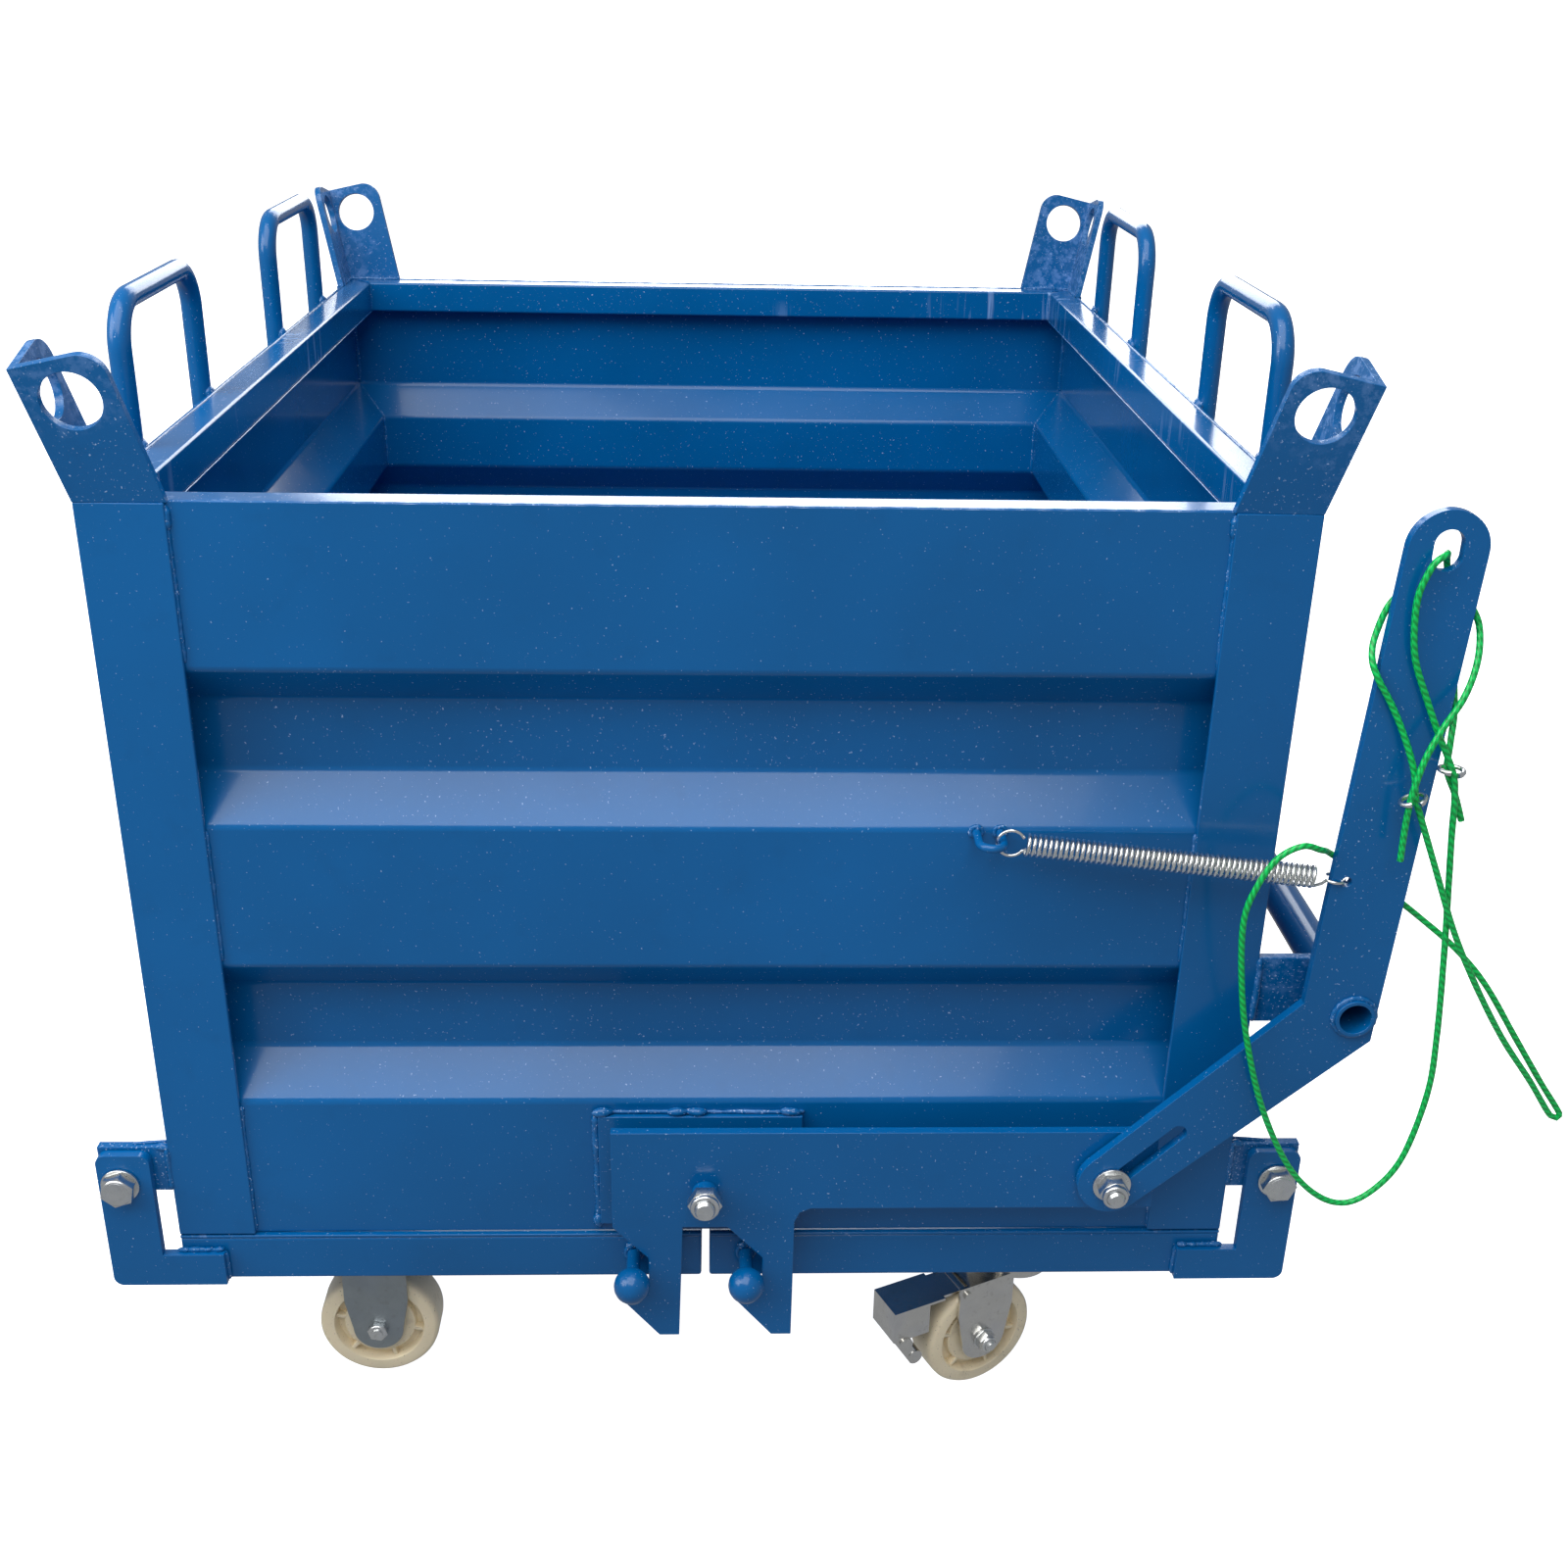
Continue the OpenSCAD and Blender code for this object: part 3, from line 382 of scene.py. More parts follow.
def merged_copy(node):
    """A CAD node's mesh as one closed skin with flat faces joined."""
    bm = bmesh.new()
    bm.from_mesh(frame["nodes"][node].data)
    bmesh.ops.remove_doubles(bm, verts=bm.verts, dist=2e-6)
    bmesh.ops.dissolve_limit(bm, angle_limit=math.radians(0.6), use_dissolve_boundaries=False, verts=bm.verts,
                             edges=bm.edges, delimit=set())
    return bm


def round_edges(bm, width, segments=2, sharper=28.0):
    """Rounds each edge that is sharper than an angle."""
    edges = [e for e in bm.edges if len(e.link_faces) == 2 and e.calc_face_angle(0) > math.radians(sharper)]
    bmesh.ops.bevel(bm, geom=edges, offset=width, offset_type="OFFSET", segments=segments, profile=0.5,
                    affect="EDGES", clamp_overlap=True, material=-1)
    return bm


def rounded_node(node, name, finish, width, segments=2, sharper=28.0):
    """A copy of a CAD node with rounded edges that stands for it."""
    bm = round_edges(merged_copy(node), width, segments, sharper)
    return piece(name, bm, finish, body_of(node), (node,), weighted=True)


def frames_along(points):
    """(place, side, across) for each point, carried along the line without twist."""
    count = len(points)
    out = []
    side = None
    for i, p in enumerate(points):
        ahead = points[min(i + 1, count - 1)]
        behind = points[max(i - 1, 0)]
        way = (ahead - behind).normalized()
        if side is None:
            side = way.orthogonal().normalized()
        side = (side - way * side.dot(way)).normalized()
        out.append((p, side, way.cross(side)))
    return out


def merge(bm, part):
    """Adds a finished part to bm and frees it."""
    bmesh.ops.recalc_face_normals(part, faces=part.faces)
    mesh = bpy.data.meshes.new("part")
    part.to_mesh(mesh)
    part.free()
    bm.from_mesh(mesh)
    bpy.data.meshes.remove(mesh)


def sweep(bm, points, radii, sides=8, lobes=0, lobe_depth=0.0, lobe_turn=0.0, uv=None):
    """A closed tube along points. radii is one number or one for each point; lobes give it laid strands."""
    part = bmesh.new()
    ring = bmesh.ops.create_circle(part, cap_ends=False, radius=1.0, segments=sides)["verts"]
    edges = list(part.edges)
    rings, lengths = [], [0.0]
    for i, (place, side, across) in enumerate(frames_along(points)):
        if i:
            lengths.append(lengths[-1] + (place - points[i - 1]).length)
            made = bmesh.ops.extrude_edge_only(part, edges=edges)["geom"]
            fresh = {v for v in made if isinstance(v, bmesh.types.BMVert)}
            edges = [e for e in made if isinstance(e, bmesh.types.BMEdge) and fresh.issuperset(e.verts)]
            ring = [next(w for w in (e.other_vert(v) for e in v.link_edges) if w in fresh) for v in rings[-1]]
        rings.append(ring)
        radius = radii[i] if isinstance(radii, (list, tuple)) else radii
        for k, v in enumerate(ring):
            angle = 2 * math.pi * k / sides
            lobe = lobe_depth * (0.5 - 0.5 * math.cos(lobes * angle + lobe_turn * lengths[i]))
            v.co = place + (side * math.cos(angle) + across * math.sin(angle)) * radius * (1 - lobe)
    if uv:
        layer = part.loops.layers.uv.new(uv)
        where = {v: (k / sides, lengths[i]) for i, row in enumerate(rings) for k, v in enumerate(row)}
        for face in part.faces:
            seam = max(where[loop.vert][0] for loop in face.loops) > 0.75
            for loop in face.loops:
                around, along = where[loop.vert]
                loop[layer].uv = (1.0 if seam and around == 0 else around, along / 0.019)
    bmesh.ops.holes_fill(part, edges=part.edges, sides=0)
    merge(bm, part)


def smooth_line(points, step):
    """A Catmull-Rom line through points, cut at about equal steps."""
    out = []
    count = len(points)
    for i in range(count - 1):
        p0, p1 = points[max(i - 1, 0)], points[i]
        p2, p3 = points[i + 1], points[min(i + 2, count - 1)]
        parts = max(1, round((p2 - p1).length / step))
        for k in range(parts):
            t = k / parts
            out.append(0.5 * ((2 * p1) + (p2 - p0) * t + (2 * p0 - 5 * p1 + 4 * p2 - p3) * t * t
                              + (3 * p1 - p0 - 3 * p2 + p3) * t ** 3))
    out.append(points[-1].copy())
    return out


def bead(bm, a, b, radius, seed=0, step=0.0022, wander=0.35):
    """A weld bead from a to b: a rippled tube with uneven width and tapered ends."""
    length = (b - a).length
    count = max(4, int(length / step))
    way = (b - a).normalized()
    side = way.orthogonal().normalized()
    across = way.cross(side)
    points, radii = [], []
    for i in range(count + 1):
        t = i / count
        s = t * length
        end = min(1.0, 0.35 + min(s, length - s) / (radius * 1.6))
        ripple = 1 + 0.10 * math.sin(s / (radius * 0.62) * math.pi) + 0.22 * noise.noise((s * 60, seed * 7.3, 0.5))
        radii.append(radius * end * ripple)
        drift = wander * radius * noise.noise((s * 40, seed * 3.1, 4.7))
        lift = wander * radius * noise.noise((s * 45, seed * 5.9, 9.2))
        points.append(a + way * s + side * drift + across * lift)
    sweep(bm, points, radii, sides=7)


def ring_bead(bm, centre, axis, ring_radius, radius, seed=0):
    """A weld bead round a tube or pin."""
    axis = axis.normalized()
    side = axis.orthogonal().normalized()
    across = axis.cross(side)
    count = max(16, int(ring_radius * 2 * math.pi / 0.0022))
    points, radii = [], []
    for i in range(count + 1):
        angle = math.radians(360 * i / count)
        s = ring_radius * angle
        ripple = 1 + 0.12 * math.sin(s / (radius * 0.62) * math.pi) + 0.2 * noise.noise((s * 80, seed * 7.3, 0.5))
        radii.append(radius * ripple)
        points.append(centre + (side * math.cos(angle) + across * math.sin(angle)) * ring_radius)
    sweep(bm, points, radii, sides=7)


def blob(bm, centre, radius, seed=0, flat=(1, 1, 1)):
    """A lump of weld or spatter."""
    part = bmesh.new()
    bmesh.ops.create_icosphere(part, subdivisions=2, radius=radius)
    for v in part.verts:
        push = 1 + 0.3 * noise.noise(v.co * (1.1 / radius) + Vector((seed * 3.7, seed, 0)))
        v.co = Vector((v.co.x * flat[0], v.co.y * flat[1], v.co.z * flat[2])) * push + centre
    merge(bm, part)


def turned(axis):
    """The turn that brings +Z onto an axis."""
    return Vector((0, 0, 1)).rotation_difference(axis.normalized()).to_matrix().to_4x4()


def lathe(bm, profile, centre, axis, steps=48, start_turn=0.0):
    """A turned solid from (radius, height) pairs about an axis through centre."""
    part = bmesh.new()
    chain = [part.verts.new((r, 0, h)) for r, h in profile]
    edges = [part.edges.new(pair) for pair in zip(chain, chain[1:])]
    bmesh.ops.spin(part, geom=chain + edges, cent=(0, 0, 0), axis=(0, 0, 1), angle=2 * math.pi, steps=steps,
                   use_merge=True, use_duplicate=False)
    bmesh.ops.remove_doubles(part, verts=part.verts, dist=1e-6)
    bmesh.ops.transform(part, matrix=Matrix.Translation(centre) @ turned(axis)
                        @ Matrix.Rotation(math.radians(start_turn), 4, "Z"), verts=part.verts)
    merge(bm, part)


def hexagon(bm, centre, axis, across_corners, height, chamfer=0.0012, start_turn=30.0):
    """A hexagon head or nut with a turned chamfer. centre is the middle of the face that it rests on."""
    part = bmesh.new()
    r = across_corners / 2
    bmesh.ops.create_cone(part, cap_ends=True, segments=6, radius1=r, radius2=r, depth=height - chamfer)
    bmesh.ops.bevel(part, geom=list(part.edges), offset=0.0005, offset_type="OFFSET", segments=2, profile=0.5,
                    affect="EDGES", clamp_overlap=True, material=-1)
    bmesh.ops.transform(part, matrix=Matrix.Translation(centre) @ turned(axis)
                        @ Matrix.Rotation(math.radians(start_turn), 4, "Z")
                        @ Matrix.Translation((0, 0, (height - chamfer) / 2)), verts=part.verts)
    merge(bm, part)
    flat = r * 0.866
    low = height - chamfer - 0.0004
    lathe(bm, [(0, low), (flat, low), (flat * 0.985, height - chamfer), (flat * 0.9, height - 0.0002),
               (flat * 0.86, height), (0, height)], centre, axis, 40)


def washer(bm, centre, axis, outer, bore, thick):
    """A flat washer with soft edges; centre is the middle of its back face."""
    c = 0.0004
    lathe(bm, [(bore / 2, c), (bore / 2, thick - c), (bore / 2 + c, thick), (outer / 2 - c, thick),
               (outer / 2, thick - c), (outer / 2, c), (outer / 2 - c, 0), (bore / 2 + c, 0), (bore / 2, c)],
          centre, axis, 48)


def bolt_end(bm, centre, axis, diameter, length, threads=5):
    """The end of a bolt that stands out of its nut: thread ridges and a chamfered tip."""
    r = diameter / 2
    profile = [(r - 0.0006, -0.001)]
    pitch = (length - 0.0012) / max(1, threads)
    for i in range(threads):
        profile += [(r - 0.0006, i * pitch), (r, (i + 0.5) * pitch)]
    profile += [(r - 0.0006, length - 0.0012), (r - 0.0014, length), (0, length)]
    lathe(bm, profile, centre, axis, 32)


def lock_nut(bm, centre, axis, across_corners, height):
    """A locking nut: hexagon below, a turned collar above."""
    hexagon(bm, centre, axis, across_corners, height * 0.72, 0.0008)
    r = across_corners / 2 * 0.84
    up = height * 0.7
    lathe(bm, [(0, up), (r, up), (r, height - 0.0022), (r - 0.0006, height - 0.0009), (r - 0.0022, height),
               (r * 0.72, height - 0.0001), (r * 0.68, height - 0.0012), (0, height - 0.0012)],
          centre, axis, 40)


Y_OUT = Vector((0, -1, 0))


def ends():
    """+1 for the front and -1 for the rear, with the body name's first word."""
    return ((1, "front"), (-1, "rear"))


# ---- stage ----
class BIN_OT_stage(bpy.types.Operator):
    """Make the camera, the pale floor and the soft lights"""

    bl_idname = "bin.stage"
    bl_label = "Stage"

    def execute(self, context):
        stage = context.scene.bin_stage
        yaw, pitch, roll = math.radians(2.349), math.radians(24.32), math.radians(-1.21)
        look = Vector((math.sin(yaw) * math.cos(pitch), math.cos(yaw) * math.cos(pitch), -math.sin(pitch)))
        right = Vector((math.cos(yaw), -math.sin(yaw), 0))
        down = look.cross(right)
        image_x = right * math.cos(roll) + down * math.sin(roll)
        image_y = down * math.cos(roll) - right * math.sin(roll)
        turn = Matrix((image_x, -image_y, -look)).transposed().to_4x4()
        camera = bpy.data.objects.new("camera", bpy.data.cameras.new("camera"))
        camera.data.sensor_width = 36
        camera.data.lens = 41.12
        camera.data.clip_end = 200
        camera.matrix_world = Matrix.Translation(mm(9.91, -2064.03, 1159.36)) @ turn
        context.scene.collection.objects.link(camera)
        context.scene.camera = camera

        bm = bmesh.new()
        bmesh.ops.create_grid(bm, x_segments=4, y_segments=4, size=60)
        upright = Matrix.Translation((0, 58, 0)) @ Matrix.Rotation(math.radians(90), 4, "X")
        bmesh.ops.create_grid(bm, x_segments=1, y_segments=1, size=60, matrix=upright)
        mesh = bpy.data.meshes.new("floor")
        bm.to_mesh(mesh)
        bm.free()
        mesh.materials.append(floor_finish(stage))
        floor = bpy.data.objects.new("floor", mesh)
        context.scene.collection.objects.link(floor)
        floor.visible_diffuse = False
        floor.visible_glossy = False

        world = bpy.data.worlds.new("surroundings")
        world.use_nodes = True
        back = world.node_tree.nodes["Background"]
        back.inputs["Color"].default_value = (0.93, 0.96, 1.0, 1)
        back.inputs["Strength"].default_value = stage.sky
        context.scene.world = world
        for name, place, size, power, tint in (
            ("top_light", (-0.6, -1.6, 3.4), 3.2, stage.top_light, (1.0, 0.99, 0.97)),
            ("side_light", (-3.4, -1.6, 2.6), 2.2, stage.side_light, (1.0, 0.985, 0.96)),
            ("back_light", (0.3, 6.0, 3.6), 4.5, stage.side_light * 4, (0.96, 0.98, 1.0)),
        ):
            light = bpy.data.lights.new(name, "AREA")
            light.size = size
            light.energy = power
            light.color = tint
            lamp = bpy.data.objects.new(name, light)
            lamp.location = place
            lamp.rotation_euler = (Vector((0, 0, 0.45)) - Vector(place)).to_track_quat("-Z", "Y").to_euler()
            context.scene.collection.objects.link(lamp)
        context.scene.view_settings.view_transform = "Standard"
        return {"FINISHED"}


# ---- bin ----
class BIN_OT_walls(bpy.types.Operator):
    """Round the folds of the four pressed walls"""

    bl_idname = "bin.walls"
    bl_label = "Walls"

    def execute(self, context):
        width = context.scene.bin_edges.sheet
        for node in ("front_wall", "rear_wall", "left_wall", "right_wall"):
            run = Vector((0, 1, 0)) if node in ("left_wall", "right_wall") else Vector((1, 0, 0))
            bm = merged_copy(node)
            folds = [e for e in bm.edges if len(e.link_faces) == 2
                     and math.radians(30) < e.calc_face_angle(0) < math.radians(60)
                     and abs((e.verts[1].co - e.verts[0].co).normalized().dot(run)) > 0.99]
            bmesh.ops.bevel(bm, geom=folds, offset=width, offset_type="OFFSET", segments=4, profile=0.5,
                            affect="EDGES", clamp_overlap=True, material=-1)
            piece(f"{node}_sheet", bm, "paint", "bin", (node,), weighted=True)
        return {"FINISHED"}


class BIN_OT_posts(bpy.types.Operator):
    """Round the corner posts and the lifting lugs that lean out above them"""

    bl_idname = "bin.posts"
    bl_label = "Posts and lugs"

    def execute(self, context):
        edges = context.scene.bin_edges
        rounded_node("corner_posts", "posts_angle", "paint", edges.plate * 1.3)
        rounded_node("lifting_lugs", "lugs_plate", "rough", edges.plate * 1.2)
        return {"FINISHED"}


class BIN_OT_rim(bpy.types.Operator):
    """Round the rim tubes and give them their runs of paint"""

    bl_idname = "bin.rim"
    bl_label = "Rim"

    def execute(self, context):
        rounded_node("top_rim", "rim_tubes", "runny", context.scene.bin_edges.tube, segments=3, sharper=60)
        return {"FINISHED"}


class BIN_OT_hoops(bpy.types.Operator):
    """Give the side hoops a smooth skin and closed lower ends"""

    bl_idname = "bin.hoops"
    bl_label = "Hoops"

    def execute(self, context):
        bar = 21 * MM / 2
        for side in (-1, 1):
            for end, word in ends():
                bm = bmesh.new()
                x, y0 = 530.7 * side, -290 * end
                corner, radius = 120 - 42, 42
                top = 750 + 140 - 10.5
                points = [mm(x, y0 - 120, 690), mm(x, y0 - 120, 700)]
                points += [mm(x, y0 - 120, 700 + (top - radius - 700) * k / 6) for k in range(1, 6)]
                for k in range(13):
                    a = math.radians(180 - 90 * k / 12)
                    points.append(mm(x, y0 - corner + radius * math.cos(a), top - radius + radius * math.sin(a)))
                for k in range(13):
                    a = math.radians(90 - 90 * k / 12)
                    points.append(mm(x, y0 + corner + radius * math.cos(a), top - radius + radius * math.sin(a)))
                points += [mm(x, y0 + 120, top - radius - (top - radius - 700) * k / 6) for k in range(1, 6)]
                points += [mm(x, y0 + 120, 700), mm(x, y0 + 120, 690)]
                sweep(bm, points, bar, sides=24)
                name = f"hoop_{word}_{'left' if side < 0 else 'right'}"
                made = piece(name, bm, "paint", "bin", smooth=50)
                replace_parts(made, "side_hoops")
        return {"FINISHED"}


# ---- hinges and doors ----
class BIN_OT_hinges(bpy.types.Operator):
    """Build the hinge lugs and arms with their bolts, washers and locking nuts"""

    bl_idname = "bin.hinges"
    bl_label = "Hinges"

    def execute(self, context):
        edges = context.scene.bin_edges
        rounded_node("hinge_lugs", "hinge_lug_plates", "weld", edges.plate * 1.3)
        rounded_node("left_hinge_arms", "left_arm_plates", "paint", edges.plate * 1.4)
        rounded_node("right_hinge_arms", "right_arm_plates", "paint", edges.plate * 1.4)
        heads, rings, nuts = bmesh.new(), bmesh.new(), bmesh.new()
        for side in (-1, 1):
            for end, _ in ends():
                out = Vector((0, -end, 0))
                x, z = HINGE_X * side, HINGE_Z
                washer(rings, mm(x, -610.8 * end, z), out, 37 * MM, 20.2 * MM, 3 * MM)
                hexagon(heads, mm(x, -613.8 * end, z), out, 34.6 * MM, 12.5 * MM, 0.0014, 12 + 23 * side)
                lathe(heads, [(0, 0), (0.0125, 0), (0.0125, 0.0004), (0, 0.0004)], mm(x, -626.25 * end, z), out, 40)
                lathe(heads, [(0, 0), (0.01, 0), (0.01, 0.040), (0, 0.040)], mm(x, -614 * end, z), -out, 32)
                lock_nut(nuts, mm(x, -589.5 * end, z), -out, 34.6 * MM, 16 * MM)
                bolt_end(nuts, mm(x, -574 * end, z), -out, 19.9 * MM, 5.5 * MM, 3)
        piece("hinge_bolt_heads", heads, "zinc", "bin", ("hinge_bolts",))
        piece("hinge_flat_washers", rings, "zinc", "bin", ("hinge_washers",))
        piece("hinge_lock_nuts", nuts, "zinc", "bin", ("hinge_nuts",))
        return {"FINISHED"}


class BIN_OT_doors(bpy.types.Operator):
    """Round the door frames, sheets and the ball pins that the latches hold"""

    bl_idname = "bin.doors"
    bl_label = "Doors"

    def execute(self, context):
        edges = context.scene.bin_edges
        for side in ("left", "right"):
            rounded_node(f"{side}_door_frame", f"{side}_frame_tubes", "paint", edges.tube, segments=3, sharper=60)
            rounded_node(f"{side}_door_sheet", f"{side}_floor_sheet", "runny", edges.plate)
            bm = bmesh.new()
            x = PIN_X[side]
            for end, _ in ends():
                out = Vector((0, -end, 0))
                profile = [(0, 0), (0.007, 0), (0.007, 0.032), (0.0078, 0.0355)]
                profile += [(0.018 * math.sin(math.pi * k / 12), 0.052 - 0.018 * math.cos(math.pi * k / 12))
                            for k in range(3, 12)] + [(0, 0.07)]
                lathe(bm, profile, mm(x, -600 * end, PIN_Z), out, 40)
            piece(f"{side}_ball_pins", bm, "paint", f"{side}_door", (f"{side}_latch_pins",))
        return {"FINISHED"}


# ---- latches and lever ----
class BIN_OT_latches(bpy.types.Operator):
    """Build both latches: plates, studs, spacers, link bolts and locking nuts"""

    bl_idname = "bin.latches"
    bl_label = "Latches"

    def execute(self, context):
        edges = context.scene.bin_edges
        rounded_node("latch_backing_plates", "backing_plates", "paint", edges.plate)
        spacers, studs, nuts, collars = bmesh.new(), bmesh.new(), bmesh.new(), bmesh.new()
        for end, word in ends():
            rounded_node(f"{word}_latch_plate", f"{word}_hook_plate", "paint", edges.plate * 1.2)
            out = Vector((0, -end, 0))
            lathe(spacers, [(0.01, 0), (0.017, 0), (0.017, 0.0215), (0.0165, 0.022), (0.01, 0.022)],
                  mm(0, -603.5 * end, STUD_Z), out, 40)
            lathe(studs, [(0, 0), (0.01, 0), (0.01, 0.06), (0, 0.06)], mm(0, -600 * end, STUD_Z), out, 32)
            washer(collars, mm(0, -636.5 * end, STUD_Z), out, 26 * MM, 20.2 * MM, 12 * MM)
            lock_nut(nuts, mm(0, -648.5 * end, STUD_Z), out, 34 * MM, 16 * MM)
            bolt_end(studs, mm(0, -660 * end, STUD_Z), out, 19.6 * MM, 9.6 * MM, 4)
            bolt, nut = bmesh.new(), bmesh.new()
            lathe(bolt, [(0, 0), (0.005, 0), (0.005, 0.047), (0, 0.047)], mm(LINK_X, -625.5 * end, LINK_Z), out, 32)
            hexagon(bolt, mm(LINK_X, -626 * end, LINK_Z), -out, 22 * MM, 8 * MM, 0.001)
            bolt_end(bolt, mm(LINK_X, -671.5 * end, LINK_Z), out, 16 * MM, 4 * MM, 2)
            washer(nut, mm(LINK_X, -648.5 * end, LINK_Z), out, 37 * MM, 10.4 * MM, 3 * MM)
            lock_nut(nut, mm(LINK_X, -651.5 * end, LINK_Z), out, 30 * MM, 20 * MM)
            body = f"{word}_latch"
            piece(f"{word}_link_bolt_body", bolt, "zinc", body, (f"{word}_link_bolt",))
            piece(f"{word}_link_lock_nut", nut, "zinc", body, (f"{word}_link_nut",))
        piece("latch_stud_bars", studs, "zinc", "bin", ("latch_pivot_studs",))
        piece("latch_spacer_rings", spacers, "zinc", "bin", ("latch_spacers",))
        piece("latch_lock_nuts", nuts, "zinc", "bin", ("latch_pivot_nuts",))
        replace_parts(piece("latch_collars", collars, "paint", "bin"), "latch_pivot_nuts")
        return {"FINISHED"}


class BIN_OT_lever(bpy.types.Operator):
    """Round the hand lever, the torque tube with its bearings and the rear arm"""

    bl_idname = "bin.lever"
    bl_label = "Lever"

    def execute(self, context):
        edges = context.scene.bin_edges
        rounded_node("lever_plate", "lever_arm", "paint", edges.plate * 1.4)
        rounded_node("rear_arm", "rear_lever_arm", "paint", edges.plate * 1.4)
        rounded_node("torque_tube", "long_tube", "paint", edges.plate)
        rounded_node("bearing_brackets", "bracket_plates", "weld", edges.plate * 1.2)
        rounded_node("bearing_sleeves", "sleeve_rings", "paint", edges.plate)
        return {"FINISHED"}


class BIN_OT_spring(bpy.types.Operator):
    """Wind the return spring with its ring and hook, and bend its eye from bar"""

    bl_idname = "bin.spring"
    bl_label = "Return spring"

    def execute(self, context):
        looks = context.scene.bin_spring_rope
        wire = looks.wire / 2
        start = mm(275, -623, 450)
        stop = mm(TORQUE_X - 28 - 0.9, -643, TORQUE_Z + 141)
        way = (stop - start).normalized()
        length = (stop - start).length
        level = Vector((0, 0, 1))
        up = (level - way * level.dot(way)).normalized()
        side = way.cross(up)
        coil = 0.011 - wire
        ring, tail = 0.0125, 0.026
        points = []
        for k in range(30):
            a = math.radians(30 + 300 * k / 29)
            points.append(start + (way * math.cos(a) + up * math.sin(a)) * ring)
        points.append(start + way * (ring + 0.0003) - up * 0.004)
        first, last = ring + 0.001, length - tail
        turns = looks.coils
        for k in range(turns * 20 + 1):
            a = 2 * math.pi * k / 20 - math.pi / 2
            s = first + (last - first) * k / (turns * 20)
            points.append(start + way * s + (up * math.sin(a) + side * math.cos(a)) * coil)
        centre = start + way * (length - 0.009)
        points.append(centre - way * 0.011 - up * 0.004 + side * 0.004)
        for k in range(26):
            a = math.radians(150 - 270 * k / 25)
            points.append(centre + (way * math.cos(a) + side * math.sin(a)) * 0.009)
        bm = bmesh.new()
        sweep(bm, points, wire, sides=8)
        coil_piece = piece("spring_coil", bm, "spring", None, ("return_spring",), smooth=60)
        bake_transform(coil_piece)

        bm = bmesh.new()
        eye = [mm(EYE_X - EYE_BEND, y, EYE_Z) for y in (-594, -606, -617)]
        eye += [mm(EYE_X - EYE_BEND * math.cos(math.radians(a)), -620 - EYE_BEND * math.sin(math.radians(a)), EYE_Z)
                for a in range(0, 181, 12)]
        eye += [mm(EYE_X + EYE_BEND, y, EYE_Z) for y in (-617, -606, -594)]
        sweep(bm, eye, 0.004, sides=14)
        piece("spring_staple", bm, "paint", "bin", ("spring_eye",), smooth=60)
        return {"FINISHED"}


class BIN_OT_rope(bpy.types.Operator):
    """Lay the pull rope along its route and close its two wire clips round it"""

    bl_idname = "bin.rope"
    bl_label = "Pull rope"

    def execute(self, context):
        diameter = context.scene.bin_spring_rope.rope
        route = [mm(*p) for p in ROPE_ROUTE]
        line = smooth_line(route, 0.004)
        bm = bmesh.new()
        sweep(bm, line, diameter / 2, sides=12, lobes=8, lobe_depth=0.035, lobe_turn=150, uv="lay")
        rope = piece("rope_coated", bm, "rope", "release_lever", ("pull_rope",), smooth=70)
        clips = []
        for name, at, tilt in (("rope_clip_high", (648, -659.5, 539), 18), ("rope_clip_low", (614.5, -670, 515), -4)):
            bm = bmesh.new()
            centre = mm(*at)
            lean = math.radians(tilt)
            points = []
            for k in range(33):
                a = math.radians(-70 + 320 * k / 32)
                wide, deep = 0.0105, 0.0085
                flat = Vector((wide * math.cos(a), deep * math.sin(a), 0))
                flat.z = 0.35 * flat.x + 0.002 * math.sin(a / 2)
                points.append(centre + Matrix.Rotation(lean, 3, "Y") @ flat)
            radii = [0.0021 if 2 < k < 30 else 0.0026 for k in range(33)]
            sweep(bm, points, radii, sides=12)
            clips.append(piece(name, bm, "zinc", "release_lever", smooth=60))
        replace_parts(clips[0], "rope_clips")
        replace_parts(clips[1], "rope_clips")
        return {"FINISHED"}


# ---- casters ----
def nylon_wheel(bm, centre, axis):
    """A nylon wheel with a rounded tread, recessed sides and six ribs on each side."""
    r, half, hub = 0.0625, 0.021, 0.014
    right = [(0.0061, 0.022), (hub, 0.022), (hub + 0.0008, 0.0212), (hub + 0.0025, 0.011), 
             (0.016, 0.008), (0.0175, 0.0165), (0.036, 0.0165), (0.0372, 0.0155), (0.0385, 0.009),
             (0.0450, 0.009), (0.0465, 0.0195), (0.0475, half), (0.0575, half), (0.0600, 0.0200),
             (0.0620, 0.0170), (r, 0.013)]
    profile = right + [(x, -h) for x, h in reversed(right)] + [right[0]]
    lathe(bm, profile, centre, axis, 72)
    for side in (-1, 1):
        for k in range(6):
            rib = bmesh.new()
            bmesh.ops.create_cube(rib, size=1.0)
            bmesh.ops.scale(rib, vec=(0.011, 0.0042, 0.009), verts=rib.verts)
            bmesh.ops.translate(rib, vec=(0.0415, 0, side * 0.0125), verts=rib.verts)
            bmesh.ops.bevel(rib, geom=list(rib.edges), offset=0.001, offset_type="OFFSET", segments=2, profile=0.5,
                            affect="EDGES", clamp_overlap=True, material=-1)
            bmesh.ops.transform(rib, matrix=Matrix.Translation(centre) @ turned(axis)
                                @ Matrix.Rotation(math.radians(60 * k + 12), 4, "Z"), verts=rib.verts)
            merge(bm, rib)


TRAIL = math.radians(205)
TRAIL_X = Vector((math.cos(TRAIL), math.sin(TRAIL), 0))
TRAIL_Y = Vector((-math.sin(TRAIL), math.cos(TRAIL), 0))


